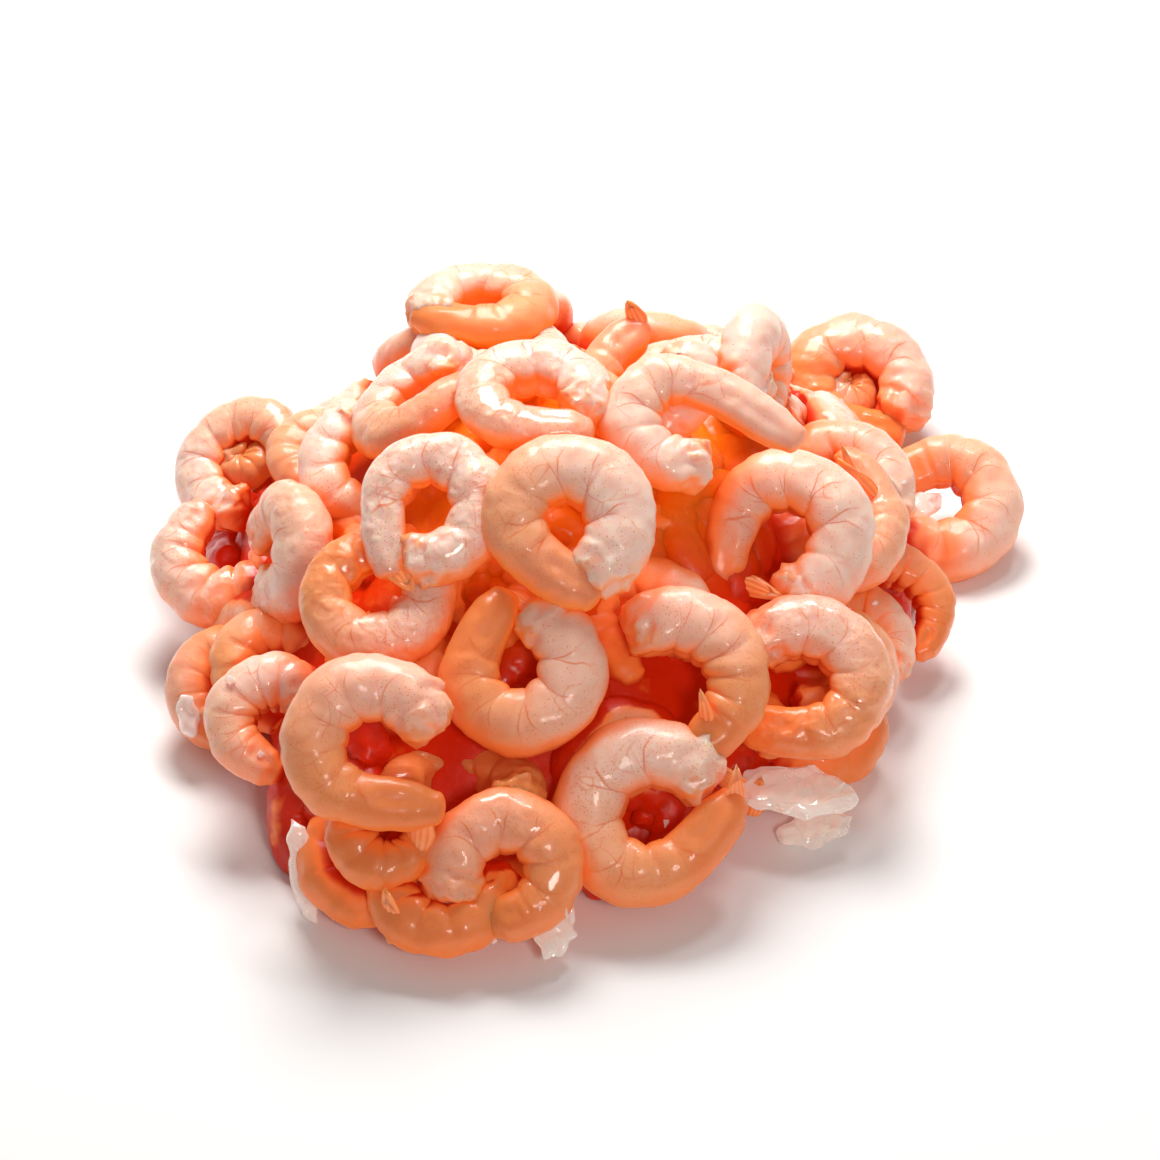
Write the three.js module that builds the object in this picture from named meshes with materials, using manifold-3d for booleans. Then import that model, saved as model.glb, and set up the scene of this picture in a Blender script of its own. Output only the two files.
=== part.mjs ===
// A loose heap of small cooked, peeled shrimp with slivers of flake ice between them.
// Millimetres, +Z up. The heap stands on z = 0, and its front faces -Y.
// Each shrimp is a tapered tube bent in one plane: a body that curls like a C or a ring,
// and a straighter, slimmer last segment. The ones that show are placed one by one. The rest
// of the heap is filled by a seeded rule.
import * as THREE from 'three';
import { mergeVertices } from 'three/addons/utils/BufferGeometryUtils.js';
import Module from 'manifold-3d';

// Driving dimensions of the heap
const MOUND_MIDDLE = { x: 0, y: 30 };
const MOUND_RISE = 55;                 // from the lowest curl's plane to the highest
const LYING_HEIGHT = 7.5;              // plane of a curl that lies flat on the ground
const MOUND_REACH = [85, 82, 70, 62, 68, 80, 92, 98, 118, 104, 92, 82];   // every 30 degrees
const MIDDLE_OF_ALL = { x: 2.63, y: 7.2 };   // of the box round everything, which is the origin
const EDGE_INSET = 9;                  // from the heap's edge to the outermost curl planes
const MOUND_FULLNESS = { across: 2.2, up: 0.75 };

// The heap is described as it is seen from the front, looking down along a slanted line.
// A place is given by mm across and mm up in the picture seen along that line, and the
// shrimp slides along the line until it rests.
const SLANT = THREE.MathUtils.degToRad(42);
const PICTURE_HEIGHT = 30;             // height of the point that the picture is centred on
const LINE_START = 120;
const LINE_END = -160;
const LINE_STEP = 0.5;
const NEAR_MISS = 16;                  // a line that clears the mound by less still rests
const MOST_LIFT = 30;
const GROUND_CLEAR = 0.4;

// Proportions of one shrimp
const SPIRAL = 0.14;                   // the curl tightens towards the tail by this share
const TAIL_BEND = THREE.MathUtils.degToRad(18);
const FLATNESS = 0.86;                 // side to side thickness over back to belly
const WIDTH_AT = [0, 0.12, 0.35, 0.7, 1, 1.15, 1.5, 1.8, 2];
const WIDTH = [0.84, 0.97, 1, 0.93, 0.76, 0.7, 0.66, 0.52, 0.26];
const SOFT = 3.6;                      // how far two shrimp press into each other
const CHAIN_SHARE = 0.92;              // contact balls over the true thickness
const TAIL_STEPS = 2;
const CONTACT_STEPS = 10;
const CONTACT_TAIL_STEPS = 5;
const FACETS = { seen: { sides: 6, steps: 6 }, hidden: { sides: 5, steps: 5 } };
const TAIL_SIDES = 5;
const TIGHT_SWEEP = 240;               // beyond it a tail can meet its own head
const HEAD_BULGE = 0.3;                // the cut end bulges by this share of its half width
const TAIL_POINT = 1.2;                // the tip stands this far past its last section

// The shrimp that show, from the lowest to the one that lies on top.
// Columns: name, across, up, lift towards the viewer, tip of the curl's plane away from
// facing the line, clock direction of that tip, clock direction of the middle of the back,
// +1 where head to tail runs anticlockwise, sweep of the curl, its radius, length of the
// straight tail, thickness from back to belly. Angles in degrees, the rest in mm.
const SEEN = [
  ['floor_left', -43.0, -58.0, -2, 25, 90, 225, 1, 210, 8.6, 10, 11.5],
  ['floor_front', -29.0, -61.0, -2, 25, 90, 262, -1, 190, 10.0, 12, 12.0],
  ['floor_lobe', -38.5, -51.5, 2, 25, 90, 215, 1, 200, 7.0, 8, 11.0],
  ['left_low', -74.0, -22.5, -2, 20, 100, 140, -1, 220, 7.8, 12, 12.5],
  ['left_dark', -65.0, -19.0, -7, 30, 90, 100, 1, 220, 9.0, 12, 12.0],
  ['right_low', 51.5, -29.0, -4, 20, 60, 320, 1, 220, 8.6, 12, 12.0],
  ['right_mid', 52.0, -18.5, -4, 20, 60, 0, 1, 220, 8.8, 12, 12.5],
  ['right_notch', 57.5, -13.0, -4, 20, 60, 60, 1, 200, 8.0, 10, 11.5],
  ['right_tail', 68.0, -7.0, 0, 20, 60, 60, -1, 150, 10.2, 8, 10.0],
  ['left_open', -77.5, 6.0, 0, 20, 90, 262, -1, 200, 10.8, 8, 14.0],
  ['back_cream', -55.0, 26.5, -13, 45, 90, 90, 1, 220, 9.0, 12, 12.0],
  ['right_under', 55.5, 20.5, -7, 30, 90, 90, 1, 220, 10.0, 12, 12.0],
  ['under_middle', 12.0, -9.0, -11, 30, 90, 90, 1, 220, 9.5, 12, 12.5],
  ['under_left', -19.0, -3.0, -11, 30, 90, 90, -1, 220, 9.0, 12, 11.5],
  ['under_top', 11.0, 20.0, -11, 20, 90, 152, 1, 220, 9.5, 12, 12.5],
  ['front_tube', -26.0, -42.5, -2, 68, 90, 90, 1, 200, 11.5, 12, 12.0],
  ['front_right_lobe', 32.5, -32.0, -5, 35, 90, 100, -1, 170, 8.0, 6, 11.0],
  ['left_upright', -62.3, 7.0, 0, 62, 180, 0, 1, 220, 9.0, 12, 14.0],
  ['slant', -43.5, 24.0, -8, 25, 90, 215, 1, 200, 10.5, 13, 11.0],
  ['top_under', -17.5, 49.0, -10, 60, 90, 270, 1, 220, 11.5, 12, 13.0],
  ['back_slim', 23.5, 41.5, -11, 55, 90, 95, 1, 200, 11.5, 12, 11.0],
  ['back_tip', 12.5, 42.0, -11, 25, 90, 268, -1, 230, 9.5, 12, 12.5],
  ['right_fin', 55.5, 12.5, -8, 25, 90, 275, 1, 200, 10.5, 15, 13.0],
  ['ring_dark', -42.5, -3.0, 0, 20, 90, 258, -1, 265, 10.3, 14, 12.6],
  ['ring_left', -73.5, 26.5, 0, 38, 135, 155, -1, 215, 10.4, 14, 12.5],
  ['ring_front_left', -42.8, -34.0, 0, 8, 90, 140, 1, 215, 11.2, 18, 14.5],
  ['hook_left', -64.5, -30.0, 3, 15, 90, 128, 1, 185, 8.4, 9, 12.3],
  ['ring_front', -14.5, -59.0, 0, 8, 90, 67, -1, 245, 9.8, 8, 14.0],
  ['hook_right', 47.0, -22.0, 0, 12, 90, 22, -1, 212, 11.2, 15, 14.0],
  ['hook_middle', 20.2, -22.5, 0, 12, 90, 42, -1, 145, 13.0, 9, 14.5],
  ['ring_front_right', 13.8, -49.0, 4, 8, 90, 176, 1, 258, 12.1, 17, 15.3],
  ['ring_middle', -13.0, -18.8, 0, 10, 90, 294, -1, 252, 10.4, 15, 14.6],
  ['ring_wet', -31.2, 15.5, 0, 15, 90, 37, 1, 265, 10.2, 16, 12.2],
  ['top_edge', -34.5, 37.5, 0, 65, 128, 185, 1, 230, 10.2, 12, 13.0],
  ['ring_top', -10.5, 37.5, 0, 47, 90, 122, 1, 258, 10.4, 15, 12.6],
  ['crown', -20.8, 59.0, 0, 60, 90, 45, -1, 285, 10.0, 14, 13.0],
  ['back_bump', 38.4, 43.5, 0, 74, 0, 80, -1, 220, 9.5, 12, 13.5],
  ['long_tail', 20.0, 34.0, 0, 15, 90, 180, -1, 212, 9.2, 26, 12.6],
  ['ring_back_right', 62.6, 44.0, 7, 22, 90, 110, 1, 265, 10.8, 15, 14.5],
  ['ring_right', 81.5, 17.6, 3, 18, 90, 340, 1, 255, 10.6, 12, 14.5],
  ['ring_large', 42.6, 9.8, 0, 10, 90, 37, 1, 225, 11.7, 17, 14.9],
  ['ring_centre', -3.5, 12.0, 11, 12, 90, 85, 1, 271, 10.7, 16, 14.9],
];

// The shrimp that the picture can't show: bands of them around the mound, and a ring of them
// on the ground at its foot
const BANDS = {
  heights: [56, 48, 40, 32, 24, 16],
  spacing: 7,
  seed: 77,
  apart: 17,
  starts: [0, 3, 6, 9, 12, 15, 18, 21],
  mostLift: 10,
};
const FOOT = {
  heights: [LYING_HEIGHT],
  spacing: 11,
  seed: 271,
  apart: 21,
  starts: [16, 20, 24, 28],
  mostLift: 9,
  lean: 0.35,
};
const HIDING_SLACK = 3;
const STEEPEST = 0.7;
const SWEEPS = { from: 205, spread: 60 };
const RADII = { from: 9.2, spread: 1.6 };
const TAILS = { from: 11, spread: 5 };
const GIRTHS = { from: 12.2, spread: 2.2 };

// Slivers of flake ice. Columns: name, across, up, height of its middle over the ground, tip
// of its face, clock direction of that tip, clock direction of its length, length, width,
// thickness
const FLAKES = [
  ['ice_flake_right', 44.5, -43.9, 12, 45, 86, 172, 28, 15, 3.6],
  ['ice_flake_right_low', 48.9, -51.8, 1.9, 42, 90, 15, 17, 9.5, 3.2],
  ['ice_flake_front', -5.2, -69.5, 8, 20, 60, 80, 16, 10, 3.0],
  ['ice_flake_left', -82.9, -28.7, 12, 15, 180, 100, 9.5, 5.5, 2.4],
  ['ice_flake_low_left', -56.6, -59.5, 9, 15, 200, 98, 25, 6.5, 2.6],
  ['ice_flake_back', 65.5, 27.2, 17, 20, 60, 115, 12.5, 10, 3],
  ['ice_flake_back_low', 76.7, 16.8, 12, 20, 60, 20, 10, 6.5, 2.6],
];
const FLAKE_CORNERS = [0.02, 0.13, 0.3, 0.47, 0.58, 0.72, 0.89];   // shares of a turn
const FLAKE_BEVEL = 0.36;              // the slope of a face over the half width
const FLAKE_GAP = 0.35;

// The core under the shrimp
const CORE_DEPTH = 6;                  // below the curls' planes
const CORE_INSET = 13;
const CORE_SECTORS = 24;
const CORE_RINGS = 5;
const CORE_RIM = 1;
const GROUND_SIZE = 400;

// Directions
const RIGHT = new THREE.Vector3(1, 0, 0);
const UP = new THREE.Vector3(0, Math.sin(SLANT), Math.cos(SLANT));
const TOWARD = new THREE.Vector3(0, -Math.cos(SLANT), Math.sin(SLANT));
const rad = THREE.MathUtils.degToRad;

const wasm = await Module();
wasm.setup();

// How far the heap reaches in a direction, smooth between the named reaches.
function reach(angle) {
  const turn = ((angle % (2 * Math.PI)) + 2 * Math.PI) % (2 * Math.PI);
  const step = turn / (2 * Math.PI / MOUND_REACH.length);
  const low = Math.floor(step);
  const part = THREE.MathUtils.smoothstep(step - low, 0, 1);
  const count = MOUND_REACH.length;
  return MOUND_REACH[low % count] * (1 - part) + MOUND_REACH[(low + 1) % count] * part;
}

// Height of the plane in which a curl lies, over a point of the ground.
function mound(x, y) {
  const dx = x - MOUND_MIDDLE.x;
  const dy = y - MOUND_MIDDLE.y;
  const edge = reach(Math.atan2(dy, dx)) - EDGE_INSET;
  const out = Math.min(Math.hypot(dx, dy) / edge, 1);
  return LYING_HEIGHT + MOUND_RISE * (1 - out ** MOUND_FULLNESS.across) ** MOUND_FULLNESS.up;
}

function interpolate(at, stops, values) {
  let k = 1;
  while (k < stops.length - 1 && at > stops[k]) k += 1;
  const part = (at - stops[k - 1]) / (stops[k] - stops[k - 1]);
  return values[k - 1] + (values[k] - values[k - 1]) * part;
}

// Centreline in the curl's plane. s runs 0..1 along the body and 1..2 along the tail.
function centreline(curl, bodySteps, tailSteps) {
  const half = rad(curl.sweep) / 2;
  const middle = rad(curl.hump);
  const points = [];
  for (let k = 0; k <= bodySteps; k += 1) {
    const s = k / bodySteps;
    const angle = middle + curl.hand * half * (2 * s - 1);
    const far = curl.radius * (1 + SPIRAL * (1 - 2 * s));
    points.push({ x: far * Math.cos(angle), y: far * Math.sin(angle), s });
  }
  const heading = middle + curl.hand * (half + Math.PI / 2);
  let { x, y } = points[points.length - 1];
  for (let k = 1; k <= tailSteps; k += 1) {
    const bent = Math.min((k - 0.5) / tailSteps / 0.5, 1);
    const turn = heading + curl.hand * TAIL_BEND * bent;
    x += (curl.tail / tailSteps) * Math.cos(turn);
    y += (curl.tail / tailSteps) * Math.sin(turn);
    points.push({ x, y, s: 1 + k / tailSteps });
  }
  return points;
}

function halfWidth(curl, s) {
  return interpolate(s, WIDTH_AT, WIDTH) * curl.girth / 2;
}

// The curl's plane faces the slanted line and is then tipped by an angle.
function planeFacing(tip, clock) {
  const angle = rad(tip);
  const turn = rad(clock);
  const lean = RIGHT.clone().multiplyScalar(Math.cos(turn)).addScaledVector(UP, Math.sin(turn));
  const side = RIGHT.clone().multiplyScalar(-Math.sin(turn)).addScaledVector(UP, Math.cos(turn));
  const leaned = lean.clone().multiplyScalar(Math.cos(angle))
    .addScaledVector(TOWARD, -Math.sin(angle));
  const normal = TOWARD.clone().multiplyScalar(Math.cos(angle))
    .addScaledVector(lean, Math.sin(angle));
  const right = leaned.clone().multiplyScalar(Math.cos(turn)).addScaledVector(side, -Math.sin(turn));
  const up = leaned.clone().multiplyScalar(Math.sin(turn)).addScaledVector(side, Math.cos(turn));
  return { right, up, normal };
}

function planeAlong(normal) {
  const right = new THREE.Vector3(0, 1, 0).cross(normal).normalize();
  return { right, up: normal.clone().cross(right), normal };
}

// The curl's plane lies on the mound.
function planeOnMound(x, y) {
  const slopeX = mound(x - 1, y) - mound(x + 1, y);
  const slopeY = mound(x, y - 1) - mound(x, y + 1);
  const height = Math.max(2, STEEPEST * Math.hypot(slopeX, slopeY));
  return planeAlong(new THREE.Vector3(slopeX, slopeY, height).normalize());
}

function inSpace(plane, point) {
  return new THREE.Vector3().addScaledVector(plane.right, point.x)
    .addScaledVector(plane.up, point.y);
}

// Balls along the centreline stand for the shrimp where it touches others.
function contactBalls(curl, plane) {
  return centreline(curl, CONTACT_STEPS, CONTACT_TAIL_STEPS).map((point) => ({
    at: inSpace(plane, point),
    size: halfWidth(curl, point.s) * CHAIN_SHARE,
  }));
}

// The point of the picture's own plane.
function pictured(across, up) {
  return new THREE.Vector3(0, 0, PICTURE_HEIGHT).addScaledVector(RIGHT, across).addScaledVector(UP, up);
}

function restOnLine(across, up) {
  const start = pictured(across, up);
  let nearest = Infinity;
  let nearestAt = 0;
  for (let along = LINE_START; along > LINE_END; along -= LINE_STEP) {
    const point = start.clone().addScaledVector(TOWARD, along);
    const gap = point.z - mound(point.x, point.y);
    if (gap <= 0) return point;
    if (gap < nearest) {
      nearest = gap;
      nearestAt = along;
    } else if (nearest < NEAR_MISS && gap > nearest + 1) {
      break;
    }
  }
  return start.addScaledVector(TOWARD, nearestAt);
}

// Moves a shrimp out step by step until it only presses softly on those already there.
function settle(centre, balls, placed, direction, most) {
  let moved = 0;
  for (; moved < most; moved += LINE_STEP) {
    const shift = centre.clone().addScaledVector(direction, moved);
    const pressed = balls.some((ball) => {
      const at = ball.at.clone().add(shift);
      if (at.z + GROUND_CLEAR < ball.size * FLATNESS) return true;
      return placed.some((other) => other.balls.some((there) => (
        at.distanceTo(there.at) < ball.size + there.size - SOFT)));
    });
    if (!pressed) break;
  }
  return { centre: centre.clone().addScaledVector(direction, moved), moved };
}

function place(placed, curl, plane, centre, balls) {
  placed.push({
    curl,
    plane,
    centre,
    balls: balls.map((ball) => ({ at: ball.at.clone().add(centre), size: ball.size })),
  });
}

function placeSeen(placed) {
  for (const row of SEEN) {
    const [, across, up, lift, tip, clock, hump, hand, sweep, radius, tail, girth] = row;
    const curl = { hump, hand, sweep, radius, tail, girth };
    const plane = planeFacing(tip, clock);
    const balls = contactBalls(curl, plane);
    const start = restOnLine(across, up).addScaledVector(TOWARD, lift);
    place(placed, curl, plane, settle(start, balls, placed, TOWARD, MOST_LIFT).centre, balls);
  }
}

// A small repeatable random sequence between 0 and 1.
function seeded(seed) {
  let state = seed;
  return () => {
    state = (state * 16807) % 2147483647;
    return state / 2147483647;
  };
}

// Spots around the mound, band by band, each with the shape of one shrimp.
function* spots({ heights, spacing, seed }) {
  const draw = seeded(seed);
  const within = ({ from, spread }) => from + spread * draw();
  for (const height of heights) {
    const rise = Math.max(height - LYING_HEIGHT, 0) / MOUND_RISE;
    const out = (1 - rise ** (1 / MOUND_FULLNESS.up)) ** (1 / MOUND_FULLNESS.across);
    const start = 2 * Math.PI * draw();
    let angle = start;
    while (angle < start + 2 * Math.PI) {
      const far = (reach(angle) - EDGE_INSET) * out;
      const curl = {
        hand: draw() > 0.5 ? 1 : -1,
        hump: 360 * draw(),
        sweep: within(SWEEPS),
        radius: within(RADII),
        tail: within(TAILS),
        girth: within(GIRTHS),
      };
      const x = MOUND_MIDDLE.x + far * Math.cos(angle);
      const y = MOUND_MIDDLE.y + far * Math.sin(angle);
      yield { x, y, angle, curl };
      angle += spacing / far;
    }
  }
}

// Lifted straight up until no part is below the ground.
function raised(centre, balls) {
  const deepest = Math.max(...balls.map((ball) => ball.size * FLATNESS - ball.at.z - centre.z));
  return centre.clone().add(new THREE.Vector3(0, 0, Math.max(deepest - GROUND_CLEAR, 0)));
}

// Whether a shrimp that shows hides this ball from the viewer.
function isHidden(ball, seen) {
  return seen.some((other) => other.balls.some((there) => {
    const away = there.at.clone().sub(ball.at);
    const apart = Math.hypot(away.dot(RIGHT), away.dot(UP));
    return apart < there.size + HIDING_SLACK && away.dot(TOWARD) > 0;
  }));
}

// Adds a shrimp where it has room, doesn't move far and stays out of the picture. It starts a
// little deeper in the heap where it would show.
function placeHidden(placed, seen, curl, plane, centre, direction, rule) {
  const balls = contactBalls(curl, plane);
  for (const depth of rule.starts) {
    const start = raised(centre.clone().addScaledVector(direction, -depth), balls);
    const rest = settle(start, balls, placed, direction, rule.mostLift);
    const roomy = placed.every((other) => other.centre.distanceTo(rest.centre) > rule.apart);
    const there = balls.map((ball) => ({ at: ball.at.clone().add(rest.centre), size: ball.size }));
    if (rest.moved < rule.mostLift && roomy && there.every((ball) => isHidden(ball, seen))) {
      place(placed, curl, plane, rest.centre, balls);
      return;
    }
  }
}

function placeBands(placed, seen) {
  for (const { x, y, curl } of spots(BANDS)) {
    const plane = planeOnMound(x, y);
    const centre = new THREE.Vector3(x, y, mound(x, y));
    placeHidden(placed, seen, curl, plane, centre, plane.normal, BANDS);
  }
}

// At the foot they lie almost flat.
function placeFoot(placed, seen) {
  for (const { angle, curl } of spots(FOOT)) {
    const outward = new THREE.Vector3(Math.cos(angle), Math.sin(angle), 0);
    const centre = new THREE.Vector3(MOUND_MIDDLE.x, MOUND_MIDDLE.y, LYING_HEIGHT)
      .addScaledVector(outward, reach(angle));
    const plane = planeAlong(outward.clone().multiplyScalar(FOOT.lean).setZ(1).normalize());
    placeHidden(placed, seen, curl, plane, centre, outward, FOOT);
  }
}

// The solid of a closed geometry. Triangles that shrink to a line at a pole are left out.
function solidOf(geometry) {
  geometry.deleteAttribute('normal');
  geometry.deleteAttribute('uv');
  const merged = mergeVertices(geometry);
  const corners = merged.getIndex().array;
  const faces = [];
  for (let k = 0; k < corners.length; k += 3) {
    const [a, b, c] = corners.slice(k, k + 3);
    if (a !== b && b !== c && c !== a) faces.push([a, b, c]);
  }
  const vertProperties = new Float32Array(merged.getAttribute('position').array);
  const made = (order) => new wasm.Manifold(new wasm.Mesh({
    numProp: 3,
    vertProperties,
    triVerts: new Uint32Array(faces.flatMap(order)),
  }));
  const asGiven = made((face) => face);
  return asGiven.volume() > 0 ? asGiven : made(([a, b, c]) => [b, a, c]);
}

function moveEach(geometry, placeOf) {
  const position = geometry.getAttribute('position');
  const point = new THREE.Vector3();
  for (let k = 0; k < position.count; k += 1) {
    const { x, y, z } = placeOf(point.fromBufferAttribute(position, k));
    position.setXYZ(k, x, y, z);
  }
  return geometry;
}

function directions(points) {
  return points.map((_, k) => {
    const before = points[Math.max(k - 1, 0)];
    const after = points[Math.min(k + 1, points.length - 1)];
    const length = Math.hypot(after.x - before.x, after.y - before.y);
    return { x: (after.x - before.x) / length, y: (after.y - before.y) / length };
  });
}

// The stretch of a shrimp between two steps of its centreline: a turned body, one section to a
// step and a blunt point past each end, bent along the line.
function stretch({ curl, plane, centre }, line, from, to, sides, ends) {
  const along = directions(line);
  const profile = [new THREE.Vector2(0, from - ends.first)];
  for (let k = from; k <= to; k += 1) profile.push(new THREE.Vector2(halfWidth(curl, line[k].s), k));
  profile.push(new THREE.Vector2(0, to + ends.last));
  const bent = ({ x, y, z }) => {
    const k = THREE.MathUtils.clamp(Math.round(y), from, to);
    const outward = inSpace(plane, { x: along[k].y, y: -along[k].x });
    return inSpace(plane, line[k]).add(centre)
      .addScaledVector(outward, x)
      .addScaledVector(inSpace(plane, along[k]), y - k)
      .addScaledVector(plane.normal, z * FLATNESS);
  };
  return solidOf(moveEach(new THREE.LatheGeometry(profile, sides), bent));
}

// On a tight curl the tail runs into the head, so there it is a stretch of its own.
function shrimpSolid(shrimp, { sides, steps }) {
  const line = centreline(shrimp.curl, steps, TAIL_STEPS);
  const last = line.length - 1;
  const head = halfWidth(shrimp.curl, 0) * HEAD_BULGE;
  if (shrimp.curl.sweep < TIGHT_SWEEP) {
    return stretch(shrimp, line, 0, last, sides, { first: head, last: TAIL_POINT });
  }
  return stretch(shrimp, line, 0, steps, sides, { first: head, last: head })
    .add(stretch(shrimp, line, steps - 1, last, TAIL_SIDES, { first: head, last: TAIL_POINT }));
}

// The core is the mound, lower and drawn in. It is turned with a reach of 1 and then moved out.
function coreSolid() {
  const profile = [];
  for (let ring = 0; ring <= CORE_RINGS; ring += 1) {
    profile.push(new THREE.Vector2(ring / CORE_RINGS, 1));
  }
  profile.push(new THREE.Vector2(1, 0), new THREE.Vector2(0, 0));
  const onMound = (point) => {
    const angle = Math.atan2(point.z, point.x);
    const far = (reach(angle) - CORE_INSET) * Math.hypot(point.x, point.z);
    const x = MOUND_MIDDLE.x + far * Math.cos(angle);
    const y = MOUND_MIDDLE.y + far * Math.sin(angle);
    return { x, y, z: point.y * Math.max(mound(x, y) - CORE_DEPTH, CORE_RIM) };
  };
  return solidOf(moveEach(new THREE.LatheGeometry(profile, CORE_SECTORS), onMound));
}

// A flake is a bevelled plate with uneven corners.
function flakeSolid(row, grown) {
  const [, across, up, height, tip, clock, turn, length, width, thickness] = row;
  const size = [length, width, thickness].map((side) => side + 2 * grown);
  const shape = new THREE.Shape(FLAKE_CORNERS.map((share) => {
    const angle = 2 * Math.PI * share;
    return new THREE.Vector2(Math.cos(angle), Math.sin(angle)).multiplyScalar(0.5);
  }));
  const edge = 1 - 2 * FLAKE_BEVEL;
  const plate = new THREE.ExtrudeGeometry(shape, {
    depth: edge,
    bevelThickness: FLAKE_BEVEL,
    bevelSize: FLAKE_BEVEL,
    bevelOffset: -FLAKE_BEVEL,
    bevelSegments: 1,
  });
  plate.translate(0, 0, -edge / 2);
  plate.scale(...size);
  plate.rotateZ(rad(turn));
  const plane = planeFacing(tip, clock);
  const start = pictured(across, up);
  const centre = start.addScaledVector(TOWARD, (height - start.z) / TOWARD.z);
  plate.applyMatrix4(new THREE.Matrix4().makeBasis(plane.right, plane.up, plane.normal)
    .setPosition(centre));
  return solidOf(plate);
}

function groundSolid() {
  const ground = new THREE.BoxGeometry(GROUND_SIZE, GROUND_SIZE, GROUND_SIZE);
  return solidOf(ground.translate(0, 0, -GROUND_SIZE / 2));
}

function largestPiece(made) {
  return made.decompose().reduce((best, piece) => (piece.volume() > best.volume() ? piece : best));
}

function heapSolid(seen, hidden) {
  let heap = coreSolid();
  for (const shrimp of hidden) heap = heap.add(shrimpSolid(shrimp, FACETS.hidden));
  for (const shrimp of seen) heap = heap.add(shrimpSolid(shrimp, FACETS.seen));
  for (const flake of FLAKES) heap = heap.subtract(flakeSolid(flake, FLAKE_GAP));
  return largestPiece(heap.subtract(groundSolid()));
}

function geometryOf(made) {
  const mesh = made.getMesh();
  const geometry = new THREE.BufferGeometry();
  const count = mesh.vertProperties.length / mesh.numProp;
  const position = new Float32Array(count * 3);
  for (let k = 0; k < count; k += 1) {
    for (let axis = 0; axis < 3; axis += 1) {
      position[k * 3 + axis] = mesh.vertProperties[k * mesh.numProp + axis];
    }
  }
  geometry.setAttribute('position', new THREE.BufferAttribute(position, 3));
  geometry.setIndex(new THREE.BufferAttribute(new Uint32Array(mesh.triVerts), 1));
  geometry.computeVertexNormals();
  return geometry;
}

const seen = [];
placeSeen(seen);
const placed = [...seen];
placeFoot(placed, seen);
placeBands(placed, seen);
const hidden = placed.slice(seen.length);

const heap = new THREE.Group();
heap.position.set(-MIDDLE_OF_ALL.x, -MIDDLE_OF_ALL.y, 0);

function addMesh(name, made, material) {
  const mesh = new THREE.Mesh(geometryOf(made), material);
  mesh.name = name;
  heap.add(mesh);
}

addMesh('shrimp_heap', heapSolid(seen, hidden), new THREE.MeshStandardMaterial({
  color: 0xefb08c,
  roughness: 0.35,
  metalness: 0,
}));
for (const flake of FLAKES) {
  addMesh(flake[0], flakeSolid(flake, 0).subtract(groundSolid()), new THREE.MeshStandardMaterial({
    color: 0xf3d8cb,
    roughness: 0.1,
    metalness: 0,
  }));
}

export default heap;
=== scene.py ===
"""The looks of a loose heap of small cooked, peeled shrimp with slivers of flake ice.

Every shrimp is a tapered body bent along a curl in one plane. The ones that show are placed one
by one, the back and the foot are filled by a seeded rule, and a layer underneath shows in the
gaps. Layout lengths are in millimetres, and meshes are made in metres in the frame's own axes.
"""

import functools
import math

import bmesh
import bpy
import numpy as np
from bpy.props import FloatProperty, FloatVectorProperty, IntProperty, PointerProperty
from mathutils import Matrix, Vector


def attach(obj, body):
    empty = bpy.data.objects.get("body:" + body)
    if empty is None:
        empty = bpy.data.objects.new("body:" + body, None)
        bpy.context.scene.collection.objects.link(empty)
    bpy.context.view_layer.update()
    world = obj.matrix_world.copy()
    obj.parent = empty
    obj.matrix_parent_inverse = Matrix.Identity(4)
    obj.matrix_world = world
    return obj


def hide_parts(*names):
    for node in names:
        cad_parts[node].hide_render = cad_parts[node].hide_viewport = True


bl_info = {
    "name": "Cooked shrimp heap",
    "version": (1, 0, 0),
    "blender": (4, 5, 0),
    "location": "View3D > Sidebar > Shrimp",
    "description": "Makes a loose heap of cooked peeled shrimp with flake ice around its frame",
    "category": "Add Mesh",
}

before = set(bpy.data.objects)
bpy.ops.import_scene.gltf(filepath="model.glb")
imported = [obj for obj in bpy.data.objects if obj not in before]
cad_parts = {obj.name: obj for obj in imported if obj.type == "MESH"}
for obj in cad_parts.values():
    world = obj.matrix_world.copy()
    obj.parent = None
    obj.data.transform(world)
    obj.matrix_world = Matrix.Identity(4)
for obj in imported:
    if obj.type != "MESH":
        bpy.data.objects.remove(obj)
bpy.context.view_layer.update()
HEAP = "shrimp_heap"
MM = 0.001

# The heap's outline and mound
MOUND_MIDDLE = np.array([0.0, 30.0])
MOUND_RISE = 55.0
LYING_HEIGHT = 7.5
MOUND_REACH = np.array([85, 82, 70, 62, 68, 80, 92, 98, 118, 104, 92, 82])
MIDDLE_OF_ALL = np.array([2.63, 7.2, 0.0])
EDGE_INSET = 9.0
MOUND_FULLNESS = {"across": 2.2, "up": 0.75}
STEEPEST = 0.7

# The slanted line along which the heap is described, and along which a shrimp comes to rest
SLANT = math.radians(42)
PICTURE_HEIGHT = 30.0
LINE_START = 120.0
LINE_END = -160.0
LINE_STEP = 0.5
NEAR_MISS = 16.0
MOST_LIFT = 30.0
GROUND_CLEAR = 0.4
RIGHT = np.array([1.0, 0.0, 0.0])
UP = np.array([0.0, math.sin(SLANT), math.cos(SLANT)])
TOWARD = np.array([0.0, -math.cos(SLANT), math.sin(SLANT)])

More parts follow.
